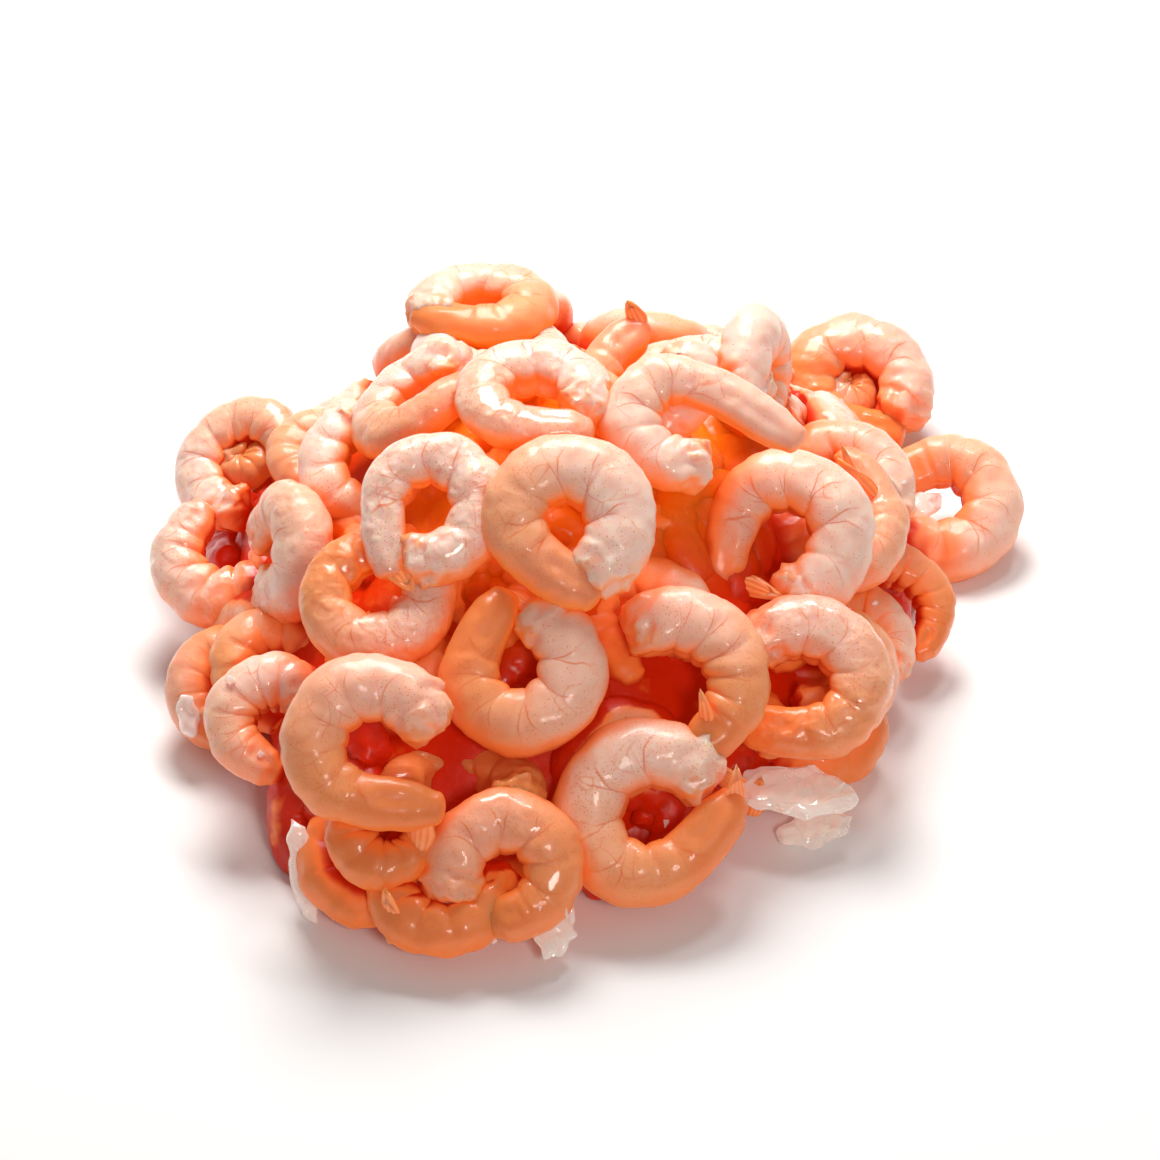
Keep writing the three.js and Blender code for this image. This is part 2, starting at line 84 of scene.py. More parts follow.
# Proportions of one shrimp
SPIRAL = 0.14
TAIL_BEND = math.radians(18)
FLATNESS = 0.86
WIDTH_AT = [0, 0.12, 0.35, 0.7, 1, 1.15, 1.5, 1.8, 2]
WIDTH = [0.84, 0.97, 1, 0.93, 0.76, 0.7, 0.66, 0.52, 0.26]
SHOWN_WIDTH = [0.9, 1.0, 1.04, 0.97, 0.85, 0.81, 0.79, 0.72, 0.5]
SOFT = 3.6
CHAIN_SHARE = 0.92
CONTACT_STEPS = 10
CONTACT_TAIL_STEPS = 5

# The shrimp that show, from the lowest to the one that lies on top.
# Columns: name, across, up, lift towards the viewer, tip of the curl's plane, clock direction of
# that tip, clock direction of the middle of the back, +1 where head to tail runs anticlockwise,
# sweep of the curl, its radius, length of the straight tail, thickness from back to belly.
SEEN = [
    ("floor_left", -43.0, -58.0, -2, 25, 90, 225, 1, 210, 8.6, 10, 11.5),
    ("floor_front", -29.0, -61.0, -2, 25, 90, 262, -1, 190, 10.0, 12, 12.0),
    ("floor_lobe", -38.5, -51.5, 2, 25, 90, 215, 1, 200, 7.0, 8, 11.0),
    ("left_low", -74.0, -22.5, -2, 20, 100, 140, -1, 220, 7.8, 12, 12.5),
    ("left_dark", -65.0, -19.0, -7, 30, 90, 100, 1, 220, 9.0, 12, 12.0),
    ("right_low", 51.5, -29.0, -4, 20, 60, 320, 1, 220, 8.6, 12, 12.0),
    ("right_mid", 52.0, -18.5, -4, 20, 60, 0, 1, 220, 8.8, 12, 12.5),
    ("right_notch", 57.5, -13.0, -4, 20, 60, 60, 1, 200, 8.0, 10, 11.5),
    ("right_tail", 68.0, -7.0, 0, 20, 60, 60, -1, 150, 10.2, 8, 10.0),
    ("left_open", -77.5, 6.0, 0, 20, 90, 262, -1, 200, 10.8, 8, 14.0),
    ("back_cream", -55.0, 26.5, -13, 45, 90, 90, 1, 220, 9.0, 12, 12.0),
    ("right_under", 55.5, 20.5, -7, 30, 90, 90, 1, 220, 10.0, 12, 12.0),
    ("under_middle", 12.0, -9.0, -11, 30, 90, 90, 1, 220, 9.5, 12, 12.5),
    ("under_left", -19.0, -3.0, -11, 30, 90, 90, -1, 220, 9.0, 12, 11.5),
    ("under_top", 11.0, 20.0, -11, 20, 90, 152, 1, 220, 9.5, 12, 12.5),
    ("front_tube", -26.0, -42.5, -2, 68, 90, 90, 1, 200, 11.5, 12, 12.0),
    ("front_right_lobe", 32.5, -32.0, -5, 35, 90, 100, -1, 170, 8.0, 6, 11.0),
    ("left_upright", -62.3, 7.0, 0, 62, 180, 0, 1, 220, 9.0, 12, 14.0),
    ("slant", -43.5, 24.0, -8, 25, 90, 215, 1, 200, 10.5, 13, 11.0),
    ("top_under", -17.5, 49.0, -10, 60, 90, 270, 1, 220, 11.5, 12, 13.0),
    ("back_slim", 23.5, 41.5, -11, 55, 90, 95, 1, 200, 11.5, 12, 11.0),
    ("back_tip", 12.5, 42.0, -11, 25, 90, 268, -1, 230, 9.5, 12, 12.5),
    ("right_fin", 55.5, 12.5, -8, 25, 90, 275, 1, 200, 10.5, 15, 13.0),
    ("ring_dark", -42.5, -3.0, 0, 20, 90, 258, -1, 265, 10.3, 14, 12.6),
    ("ring_left", -73.5, 26.5, 0, 38, 135, 155, -1, 215, 10.4, 14, 12.5),
    ("ring_front_left", -42.8, -34.0, 0, 8, 90, 140, 1, 215, 11.2, 18, 14.5),
    ("hook_left", -64.5, -30.0, 3, 15, 90, 128, 1, 185, 8.4, 9, 12.3),
    ("ring_front", -14.5, -59.0, 0, 8, 90, 67, -1, 245, 9.8, 8, 14.0),
    ("hook_right", 47.0, -22.0, 0, 12, 90, 22, -1, 212, 11.2, 15, 14.0),
    ("hook_middle", 20.2, -22.5, 0, 12, 90, 42, -1, 145, 13.0, 9, 14.5),
    ("ring_front_right", 13.8, -49.0, 4, 8, 90, 176, 1, 258, 12.1, 17, 15.3),
    ("ring_middle", -13.0, -18.8, 0, 10, 90, 294, -1, 252, 10.4, 15, 14.6),
    ("ring_wet", -31.2, 15.5, 0, 15, 90, 37, 1, 265, 10.2, 16, 12.2),
    ("top_edge", -34.5, 37.5, 0, 65, 128, 185, 1, 230, 10.2, 12, 13.0),
    ("ring_top", -10.5, 37.5, 0, 47, 90, 122, 1, 258, 10.4, 15, 12.6),
    ("crown", -20.8, 59.0, 0, 60, 90, 45, -1, 285, 10.0, 14, 13.0),
    ("back_bump", 38.4, 43.5, 0, 74, 0, 80, -1, 220, 9.5, 12, 13.5),
    ("long_tail", 20.0, 34.0, 0, 15, 90, 180, -1, 212, 9.2, 26, 12.6),
    ("ring_back_right", 62.6, 44.0, 7, 22, 90, 110, 1, 265, 10.8, 15, 14.5),
    ("ring_right", 81.5, 17.6, 3, 18, 90, 340, 1, 255, 10.6, 12, 14.5),
    ("ring_large", 42.6, 9.8, 0, 10, 90, 37, 1, 225, 11.7, 17, 14.9),
    ("ring_centre", -3.5, 12.0, 11, 12, 90, 85, 1, 271, 10.7, 16, 14.9),
]
FRONT_UNDER = -21.0
BACK_OVER = 22.0

# The shrimp that the picture can't show
SWEEPS = (205, 60)
RADII = (9.2, 1.6)
TAILS = (11, 5)
GIRTHS = (12.2, 2.2)
HIDING_SLACK = 3.0
BANDS = {
    "heights": [56, 48, 40, 32, 24, 16],
    "spacing": 7,
    "seed": 77,
    "apart": 17,
    "starts": [0, 3, 6, 9, 12, 15, 18, 21],
    "most_lift": 10,
}
FOOT = {
    "heights": [LYING_HEIGHT],
    "spacing": 11,
    "seed": 271,
    "apart": 21,
    "starts": [16, 20, 24, 28],
    "most_lift": 9,
    "lean": 0.35,
}
UNDER = {
    "heights": [60, 50, 38, 24, 12],
    "spacing": 24,
    "seed": 99,
    "depths": [7, 9, 11, 13, 15, 18, 21],
    "sizes": (0.94, 1.08),
    # The layer underneath gets extra painted shade
    "looks": {"tone": 0.7, "speckle": 0.4, "wet": 0.5, "shade": 0.48},
}
HOLES = {
    "behind": ("ring_left", "ring_back_right"),
    "deeper": 1.5,
    "curl": {"hump": 270, "hand": 1, "sweep": 220, "radius": 3.2, "tail": 2, "girth": 8.5},
}

# Slivers of flake ice. Columns: node, across, up, height of the middle, tip of the face, clock
# direction of that tip, clock direction of the length, length, width, thickness
FLAKES = [
    ("ice_flake_right", 44.5, -43.9, 12, 45, 86, 172, 28, 15, 3.6),
    ("ice_flake_right_low", 48.9, -51.8, 1.9, 42, 90, 15, 17, 9.5, 3.2),
    ("ice_flake_front", -5.2, -69.5, 8, 20, 60, 80, 16, 10, 3.0),
    ("ice_flake_left", -82.9, -28.7, 12, 15, 180, 100, 9.5, 5.5, 2.4),
    ("ice_flake_low_left", -56.6, -59.5, 9, 15, 200, 98, 25, 6.5, 2.6),
    ("ice_flake_back", 65.5, 27.2, 17, 20, 60, 115, 12.5, 10, 3),
    ("ice_flake_back_low", 76.7, 16.8, 12, 20, 60, 20, 10, 6.5, 2.6),
]

# Detail of one shrimp's surface, as shares of its half width unless it says mm
SEGMENT_AT = [0.0, 0.17, 0.35, 0.53, 0.71, 0.88, 1.05]
SEGMENT_VARIES = (0.5, 1.5)
LAST_SEGMENT = 0.9
HEAD_CAP = 0.85
HEAD_BLUNT = 2.3
TAIL_CAP = 1.0
CAP_RINGS = 6
GROOVE_SHARE = 0.2
GROOVE_WIDTH = 0.32
FINE_BODY = 40
FINE_TAIL = 20
WIDTH_BLUR = 0.05
CREASE_SKEW = 0.03
CREASE_WIDTH = 0.085
RAGGED_REACH = 3.2
LUMP_WAVE = 3.6
SHOVE_WAVE = 3.0
WAVE_COUNT = 9
SLOW_WAVES = (13, 4.2)
CUT_REACH = 1.3
TIP_REACH = 3.5
FLANK_AT = math.radians(96)
FLANK_WIDTH = math.radians(15)
TAIL_GROOVE_FROM = (6.1, 6.3)
TAIL_GROOVE_TO = (6.62, 6.86)

# How shrimp press together, and how much painted shade a point gets from its neighbours, from lying buried
# or low and from facing away from the light, in mm
NEIGHBOUR_REACH = 52
PRESS_MARGIN = 0.35
PRESS_SHARE = 0.55
SHADE_CHUNK = 400
SHADE_REACH = 38
SHADE_SHARE = 0.62
SIDE_SHARE = 0.35
SHADE_FROM = np.array([0.0, 0.2, 0.98])
BURIED_FROM = 3
BURIED_SHARE = 0.1
LOW_SHARE = 0.16
TURNED_FROM = 0.6
TURNED_SHARE = 0.42
LOW_UNDER = 45

# Sections along a shrimp and points round it, where it doesn't show in the picture
FILL_GRID = (66, 28)
UNDER_GRID = (44, 22)
UNDER_CURL = {"hump": 90, "hand": 1, "sweep": 225, "radius": 9.6, "tail": 13, "girth": 12.6}
CORE = {
    "sectors": 96,
    "rings": 40,
    "inset": 18,
    "depth": 9.5,
    "lumps": 1.4,
    "wave": 9,
    "seed": 5,
    "edge": 1,
}

# Bits of tail shell and fins. Columns: across and up of the root, clock direction, lean towards
# the viewer, tilt, length, width, number of ribs
FINS = [
    (-32.9, -54.8, 84, 15, 25, 14, 9, 5),
    (-31.0, -55.5, 45, 5, -30, 8, 6, 4),
    (-38.3, -73.3, 88, 20, 35, 13, 8, 4),
    (32.9, 0.4, 335, 10, 10, 11, 6, 4),
    (34.0, -46.5, 122, 25, 40, 14, 9, 6),
    (32.5, -48.0, 100, 20, -35, 12, 8, 5),
    (35.4, -49.0, 75, 20, 5, 10, 7, 5),
    (-14.5, -2.5, 325, 5, 20, 8, 5, 4),
    (-38.3, 4.3, 300, 5, 15, 8, 7, 4),
    (63.8, 17.0, 132, 15, 20, 14, 4.5, 3),
    (60.0, 20.2, 118, 15, -20, 11, 4, 3),
    (25.9, -30.2, 96, 15, 30, 9, 5, 3),
    (76.1, -8.9, 268, 5, 20, 7, 6, 4),
    (12.8, 53.1, 112, 10, 20, 7, 6, 4),
]
FIN_SUNK = 0.9
FIN_GRID = (11, 17)
FIN_THICK = 0.2
FIN_RIB = 0.18
FIN_NOTCH = 0.16
FIN_LIFT = 0.1

# Ice
FLAKE = {
    "seed": 31,
    "corners": [0.02, 0.13, 0.3, 0.47, 0.58, 0.72, 0.89],
    "slope": 0.3,
    "edge": 0.35,
    "cuts": 3,
    "crush": 0.5,
    "wave": 3.4,
    "levels": (-0.5, -0.15, 0.2, 0.5),
    "ragged": 0.035,
}
CHIP = {
    "seed": 17,
    "size": np.array([1.9, 0.9, 0.7]),
    "edge": 0.12,
    "sizes": (0.6, 1.35),
    "at": [(-17.5, -72.5), (-65.5, -36.0), (17.5, -50.0), (-40.4, -40.0), (33, -42), (-8, -66),
           (63, -5), (70, 21), (-72, -21), (-3.0, -66.5), (-10.5, -68.5)],
}

# Painted shade: the low shrimp are painted deeper in tone than the high ones, as the light is dimmer low
# on the heap: by how much a millimetre, and from where
PAINTED_SHADE_FALL = 0.013
PAINTED_SHADE_LEVEL = 12.0

# Floor and light
FLOOR_HALF = 1.5
FLOOR_COLOUR = (0.9, 0.9, 0.9)
LIGHTS = {
    "Back light": {"at": (-0.05, 0.36, 0.52), "power": "back_power", "size": 0.32,
                   "colour": (1, 0.985, 0.96)},
    "Small light": {"at": (0.2, 0.3, 0.75), "power": "small_power", "size": 0.16, "colour": (1, 1, 1)},
    "Fill light": {"at": (0.25, -0.85, 0.7), "power": "fill_power", "size": 0.24,
                   "colour": (1, 0.93, 0.87)},
}

# Where a shrimp differs from what is drawn for it. Values: tone, speckles and wetness, each from
# about 0 to 1, and where there is a fourth, how much more painted shade it gets
LOOKS = {
    "ring_centre": (0.35, 0.5, 0.15),
    "ring_large": (-0.15, 0.35, 0.1),
    "ring_middle": (0.3, 0.45, 0.1),
    "hook_middle": (0.25, 0.9, 0.0),
    "hook_right": (0.2, 0.7, 0.8),
    "ring_front_right": (-0.2, 0.9, 0.15),
    "ring_front": (0.0, 0.9, 0.45),
    "ring_front_left": (0.15, 0.8, 0.15),
    "hook_left": (-0.5, 0.5, 0.3),
    "ring_wet": (-0.3, 0.5, 1.0),
    "ring_dark": (0.5, 0.6, 1.0),
    "ring_top": (0.3, 0.3, 0.9),
    "crown": (1.25, 0.2, 0.1),
    "left_open": (-0.35, 0.4, 0.8),
    "ring_back_right": (1.1, 0.1, 0.4),
    "ring_right": (0.2, 0.2, 0.1),
    "long_tail": (0.1, 0.2, 0.1),
    "ring_left": (0.3, 0.2, 0.5),
    "left_upright": (0.0, 0.3, 0.7, -0.15),
    "front_tube": (0.8, 0.8, 0.3, -0.55),
    "floor_left": (0.8, 0.9, 0.2, 0.15),
    "floor_front": (1.0, 0.9, 0.2, 0.15),
    "floor_lobe": (0.7, 0.8, 0.2, 0.05),
    "under_top": (0.9, 0.6, 0.3, 0.1),
    "hole": (1.3, 0.2, 0.3, -0.35),
    "front_right_lobe": (0.8, 0.7, 0.4),
}


def length_setting(name, description, default):
    return FloatProperty(name=name, description=description, default=default, unit="LENGTH")


def power_setting(name, description, default):
    return FloatProperty(name=name, description=description, default=default, unit="POWER")


def colour_setting(name, description, default):
    return FloatVectorProperty(name=name, description=description, default=default, subtype="COLOR",
                               min=0, max=1)


class HeapRelief(bpy.types.PropertyGroup):
    """How deep the relief of a shrimp is, and how finely it is made."""
    rings: IntProperty(name="Rings", description="Sections along a shrimp that shows", default=104, min=24)
    sides: IntProperty(name="Sides", description="Points round a section", default=36, min=12)
    crease: length_setting("Crease", "Depth of a crease between segments", 0.00017)
    pillow: length_setting("Pillow", "How far a segment bulges on the back", 0.0002)
    scallop: length_setting("Scallop", "How far a segment bulges at the belly", 0.0006)
    tail_groove: length_setting("Tail groove", "Depth of the groove of the last segment", 0.0007)
    ragged: length_setting("Ragged", "Unevenness of the cut head end", 0.0009)
    uneven: length_setting("Uneven", "Slow unevenness of the whole body", 0.0004)


class HeapColours(bpy.types.PropertyGroup):
    """Colours of the cooked flesh, its lines, and the painted shade and glow of where the shrimp touch and
    what lies between them.
    """
    head: colour_setting("Head end", "Thick, milky head end", (0.93, 0.67, 0.56))
    middle: colour_setting("Middle", "Middle segments", (0.89, 0.38, 0.165))
    tail: colour_setting("Tail", "Slim last segment", (0.85, 0.24, 0.065))
    line: colour_setting("Lines", "Fine lines along the creases", (0.80, 0.17, 0.04))
    speck: colour_setting("Specks", "Fine specks of pigment", (0.74, 0.21, 0.06))
    # Painted shade and glow: the colours the flesh is deepened to where shrimp touch and in the gaps
    painted_warm_shade: colour_setting("Shaded flesh", "Flesh close to where shrimp touch", (0.88, 0.19, 0.03))
    high_painted_warm_shade: colour_setting("High shaded flesh", "The same near the top", (0.98, 0.25, 0.03))
    painted_low_gap: colour_setting("Low gaps", "Depth between the low shrimp", (0.62, 0.02, 0.0006))
    painted_high_gap: colour_setting("High gaps", "Depth between the high shrimp", (0.99, 0.27, 0.006))
    shell: colour_setting("Shell", "Bits of tail shell", (0.95, 0.28, 0.07))
    ice: colour_setting("Ice", "Flake ice", (1.0, 0.83, 0.75))


class HeapStage(bpy.types.PropertyGroup):
    """Camera and light around the heap."""
    distance: length_setting("Camera distance", "From the middle of the picture", 0.9)
    lens: FloatProperty(name="Focal length", description="Of the camera", default=131.4, unit="CAMERA")
    back_power: power_setting("Back light", "Power of the large light behind and above", 4.7)
    fill_power: power_setting("Fill light", "Power of the light in front", 3.2)
    small_power: power_setting("Small light", "Power of the small light for glints", 1.2)
    sky: FloatProperty(name="Sky", description="Strength of the even light all round", default=0.22)


def reach(angle):
    """How far the heap reaches in a direction."""
    count = len(MOUND_REACH)
    step = (angle % (2 * math.pi)) / (2 * math.pi / count)
    low = np.floor(step).astype(int)
    part = step - low
    part = part * part * (3 - 2 * part)
    return MOUND_REACH[low % count] * (1 - part) + MOUND_REACH[(low + 1) % count] * part


def mound(x, y):
    """Height of the plane in which a curl lies, over a point of the ground."""
    dx, dy = x - MOUND_MIDDLE[0], y - MOUND_MIDDLE[1]
    edge = reach(np.arctan2(dy, dx)) - EDGE_INSET
    out = np.minimum(np.hypot(dx, dy) / edge, 1.0)
    full = (1 - out ** MOUND_FULLNESS["across"]) ** MOUND_FULLNESS["up"]
    return LYING_HEIGHT + MOUND_RISE * full


def centreline(curl, body_steps, tail_steps):
    """Points in the curl's plane, and the body coordinate: 0 to 1 on the body, 1 to 2 on the tail."""
    half = math.radians(curl["sweep"]) / 2
    middle = math.radians(curl["hump"])
    s = np.linspace(0, 1, body_steps + 1)
    angle = middle + curl["hand"] * half * (2 * s - 1)
    far = curl["radius"] * (1 + SPIRAL * (1 - 2 * s))
    body = np.column_stack([far * np.cos(angle), far * np.sin(angle)])
    heading = middle + curl["hand"] * (half + math.pi / 2)
    step = np.arange(1, tail_steps + 1)
    turn = heading + curl["hand"] * TAIL_BEND * np.minimum((step - 0.5) / tail_steps / 0.5, 1)
    steps = np.column_stack([np.cos(turn), np.sin(turn)]) * curl["tail"] / tail_steps
    tail = body[-1] + np.cumsum(steps, axis=0)
    return np.vstack([body, tail]), np.concatenate([s, 1 + step / tail_steps])


def half_width(curl, s, width=WIDTH):
    return np.interp(s, WIDTH_AT, width) * curl["girth"] / 2


def plane_facing(tip, clock):
    """Right, up and normal of a plane that faces the slanted line and is then tipped."""
    angle, turn = math.radians(tip), math.radians(clock)
    lean = RIGHT * math.cos(turn) + UP * math.sin(turn)
    side = RIGHT * -math.sin(turn) + UP * math.cos(turn)
    leaned = lean * math.cos(angle) - TOWARD * math.sin(angle)
    normal = TOWARD * math.cos(angle) + lean * math.sin(angle)
    right = leaned * math.cos(turn) - side * math.sin(turn)
    up = leaned * math.sin(turn) + side * math.cos(turn)
    return np.array([right, up, normal])


def plane_along(normal):
    right = np.cross([0.0, 1.0, 0.0], normal)
    right /= np.linalg.norm(right)
    return np.array([right, np.cross(normal, right), normal])


def plane_on_mound(x, y):
    slope_x = mound(x - 1, y) - mound(x + 1, y)
    slope_y = mound(x, y - 1) - mound(x, y + 1)
    height = max(2.0, STEEPEST * math.hypot(slope_x, slope_y))
    normal = np.array([slope_x, slope_y, height])
    return plane_along(normal / np.linalg.norm(normal))


def contact_balls(curl, plane):
    """Balls along the centreline that stand for the shrimp where it touches others."""
    line, s = centreline(curl, CONTACT_STEPS, CONTACT_TAIL_STEPS)
    return line @ plane[:2], half_width(curl, s) * CHAIN_SHARE


def pictured(across, up):
    return np.array([0, 0, PICTURE_HEIGHT]) + RIGHT * across + UP * up


def rest_on_line(across, up):
    """Where the slanted line through a place of the picture meets the mound."""
    start = pictured(across, up)
    nearest, nearest_at = math.inf, 0.0
    for along in np.arange(LINE_START, LINE_END, -LINE_STEP):
        point = start + TOWARD * along
        gap = point[2] - mound(point[0], point[1])
        if gap <= 0:
            return point
        if gap < nearest:
            nearest, nearest_at = gap, along
        elif nearest < NEAR_MISS and gap > nearest + 1:
            break
    return start + TOWARD * nearest_at


class Heap:
    """The shrimp that are placed so far, with the contact balls of all of them."""

    def __init__(self):
        self.shrimp = []
        self.at = np.zeros((0, 3))
        self.size = np.zeros(0)

    def place(self, name, curl, plane, centre, at, size):
        self.shrimp.append({
            "name": name, "curl": curl, "plane": plane, "centre": centre, "at": at + centre, "size": size,
        })
        self.at = np.vstack([self.at, at + centre])
        self.size = np.concatenate([self.size, size])

    def pressed(self, at, size):
        if (at[:, 2] + GROUND_CLEAR < size * FLATNESS).any():
            return True
        if not len(self.at):
            return False
        near = np.abs(self.at - at.mean(axis=0)).max(axis=1) < NEIGHBOUR_REACH
        away = at[:, None] - self.at[near][None]
        apart = np.einsum("ijk,ijk->ij", away, away)
        return bool((apart < (size[:, None] + self.size[near][None] - SOFT) ** 2).any())

    def settle(self, centre, at, size, direction, most):
        """Moves out step by step until it only presses softly on those already there."""
        moved = 0.0
        while moved < most and self.pressed(at + centre + direction * moved, size):
            moved += LINE_STEP
        return centre + direction * moved, moved


def seeded(seed):
    """A small repeatable random sequence between 0 and 1."""
    state = seed
    while True:
        state = (state * 16807) % 2147483647
        yield state / 2147483647


def spots(rule):
    """Spots around the mound, band by band, each with the shape of one shrimp."""
    draw = seeded(rule["seed"])
    for height in rule["heights"]:
        rise = max(height - LYING_HEIGHT, 0) / MOUND_RISE
        out = (1 - rise ** (1 / MOUND_FULLNESS["up"])) ** (1 / MOUND_FULLNESS["across"])
        start = 2 * math.pi * next(draw)
        angle = start
        while angle < start + 2 * math.pi:
            far = (reach(angle) - EDGE_INSET) * out
            curl = {"hand": 1 if next(draw) > 0.5 else -1, "hump": 360 * next(draw)}
            for key, (lowest, spread) in zip(("sweep", "radius", "tail", "girth"),
                                             (SWEEPS, RADII, TAILS, GIRTHS)):
                curl[key] = lowest + spread * next(draw)
            x = MOUND_MIDDLE[0] + far * math.cos(angle)
            y = MOUND_MIDDLE[1] + far * math.sin(angle)
            yield x, y, angle, curl
            angle += rule["spacing"] / far


def raised(centre, at, size):
    """Lifted straight up until no part is below the ground."""
    deepest = (size * FLATNESS - at[:, 2] - centre[2]).max()
    return centre + np.array([0, 0, max(deepest - GROUND_CLEAR, 0)])


def all_hidden(at, seen):
    """Whether the shrimp that show hide all these points from the viewer."""
    away = seen.at[None] - at[:, None]
    apart = np.hypot(away @ RIGHT, away @ UP)
    covers = (apart < seen.size[None] + HIDING_SLACK) & (away @ TOWARD > 0)
    return bool(covers.any(axis=1).all())


def place_hidden(heap, seen, name, curl, plane, centre, direction, rule):
    """Adds a shrimp where it has room, doesn't move far and stays out of the picture."""
    at, size = contact_balls(curl, plane)
    for depth in rule["starts"]:
        start = raised(centre - direction * depth, at, size)
        rest, moved = heap.settle(start, at, size, direction, rule["most_lift"])
        if moved >= rule["most_lift"]:
            continue
        centres = np.array([other["centre"] for other in heap.shrimp])
        roomy = np.linalg.norm(centres - rest, axis=1).min() > rule["apart"]
        if roomy and all_hidden(at + rest, seen):
            heap.place(name, curl, plane, rest, at, size)
            return


@functools.lru_cache(maxsize=1)
def laid_heap():
    """All shrimp of the heap: those that show first, then those of the back and the foot."""
    heap, seen = Heap(), Heap()
    for name, across, up, lift, tip, clock, *shape in SEEN:
        curl = dict(zip(("hump", "hand", "sweep", "radius", "tail", "girth"), shape))
        plane = plane_facing(tip, clock)
        at, size = contact_balls(curl, plane)
        start = rest_on_line(across, up) + TOWARD * lift
        centre, _ = heap.settle(start, at, size, TOWARD, MOST_LIFT)
        heap.place(name, curl, plane, centre, at, size)
        seen.place(name, curl, plane, centre, at, size)
    for _, _, angle, curl in spots(FOOT):
        outward = np.array([math.cos(angle), math.sin(angle), 0.0])
        centre = np.array([*MOUND_MIDDLE, LYING_HEIGHT]) + outward * reach(angle)
        normal = outward * FOOT["lean"] + np.array([0, 0, 1.0])
        plane = plane_along(normal / np.linalg.norm(normal))
        place_hidden(heap, seen, "foot", curl, plane, centre, outward, FOOT)
    for x, y, _, curl in spots(BANDS):
        plane = plane_on_mound(x, y)
        centre = np.array([x, y, mound(x, y)])
        place_hidden(heap, seen, "band", curl, plane, centre, plane[2], BANDS)
    return heap


@functools.lru_cache(maxsize=1)
def layer_underneath():
    """The layer that only shows in the gaps: plane, centre and contact balls of each shrimp."""
    made = []
    for x, y, _, _ in spots(UNDER):
        plane = plane_on_mound(x, y)
        at, size = contact_balls(UNDER_CURL, plane)
        for depth in UNDER["depths"]:
            centre = raised(np.array([x, y, mound(x, y)]) - plane[2] * depth, at, size)
            if not covers_seen(at + centre, size):
                made.append({"plane": plane, "centre": centre, "at": at + centre, "size": size})
                break
    return made


def covers_seen(at, size):
    """Whether any of these balls lies in front of a shrimp that shows."""
    seen = laid_heap().shrimp[:len(SEEN)]
    away = at[:, None] - np.vstack([shrimp["at"] for shrimp in seen])[None]
    apart = np.hypot(away @ RIGHT, away @ UP)
    return bool(((apart < size[:, None]) & (away @ TOWARD > 0)).any())


@functools.lru_cache(maxsize=1)
def behind_holes():
    """Small curls that close the middle of the rings that stand out at the edge."""
    made = []
    for shrimp in laid_heap().shrimp:
        if shrimp["name"] in HOLES["behind"]:
            at, size = contact_balls(HOLES["curl"], shrimp["plane"])
            centre = raised(shrimp["centre"] - TOWARD * HOLES["deeper"], at, size)
            made.append({"name": "hole", "curl": HOLES["curl"], "plane": shrimp["plane"],
                         "centre": centre, "at": at + centre, "size": size})
    return made


def waves(points, seed, length):
    """Smooth unevenness between about -1 and 1, with waves of about this length."""
    draw = np.random.default_rng(seed)
    direction = draw.normal(size=(WAVE_COUNT, 3))
    direction /= np.linalg.norm(direction, axis=1)[:, None]
    turns = 2 * math.pi / (length * draw.uniform(0.7, 1.5, WAVE_COUNT))
    phase = draw.uniform(0, 2 * math.pi, WAVE_COUNT)
    total = np.sin(points @ (direction * turns[:, None]).T + phase).sum(axis=-1)
    return total / math.sqrt(2 * WAVE_COUNT)


def smooth(value, low, high):
    part = np.clip((value - low) / (high - low), 0, 1)
    return part * part * (3 - 2 * part)


def segment_count(s):
    """Counts the segments along the body: a crease lies at each whole number."""
    creases = len(SEGMENT_AT) - 1
    past = (s - SEGMENT_AT[-1]) / (2 - SEGMENT_AT[-1]) * LAST_SEGMENT
    return np.where(s > SEGMENT_AT[-1], creases + past, np.interp(s, SEGMENT_AT, range(creases + 1)))


def smooth_width(curl, s):
    near = [half_width(curl, np.clip(s + shift, 0, 2), SHOWN_WIDTH)
            for shift in (-WIDTH_BLUR, 0, 0, WIDTH_BLUR)]
    return sum(near) / len(near)


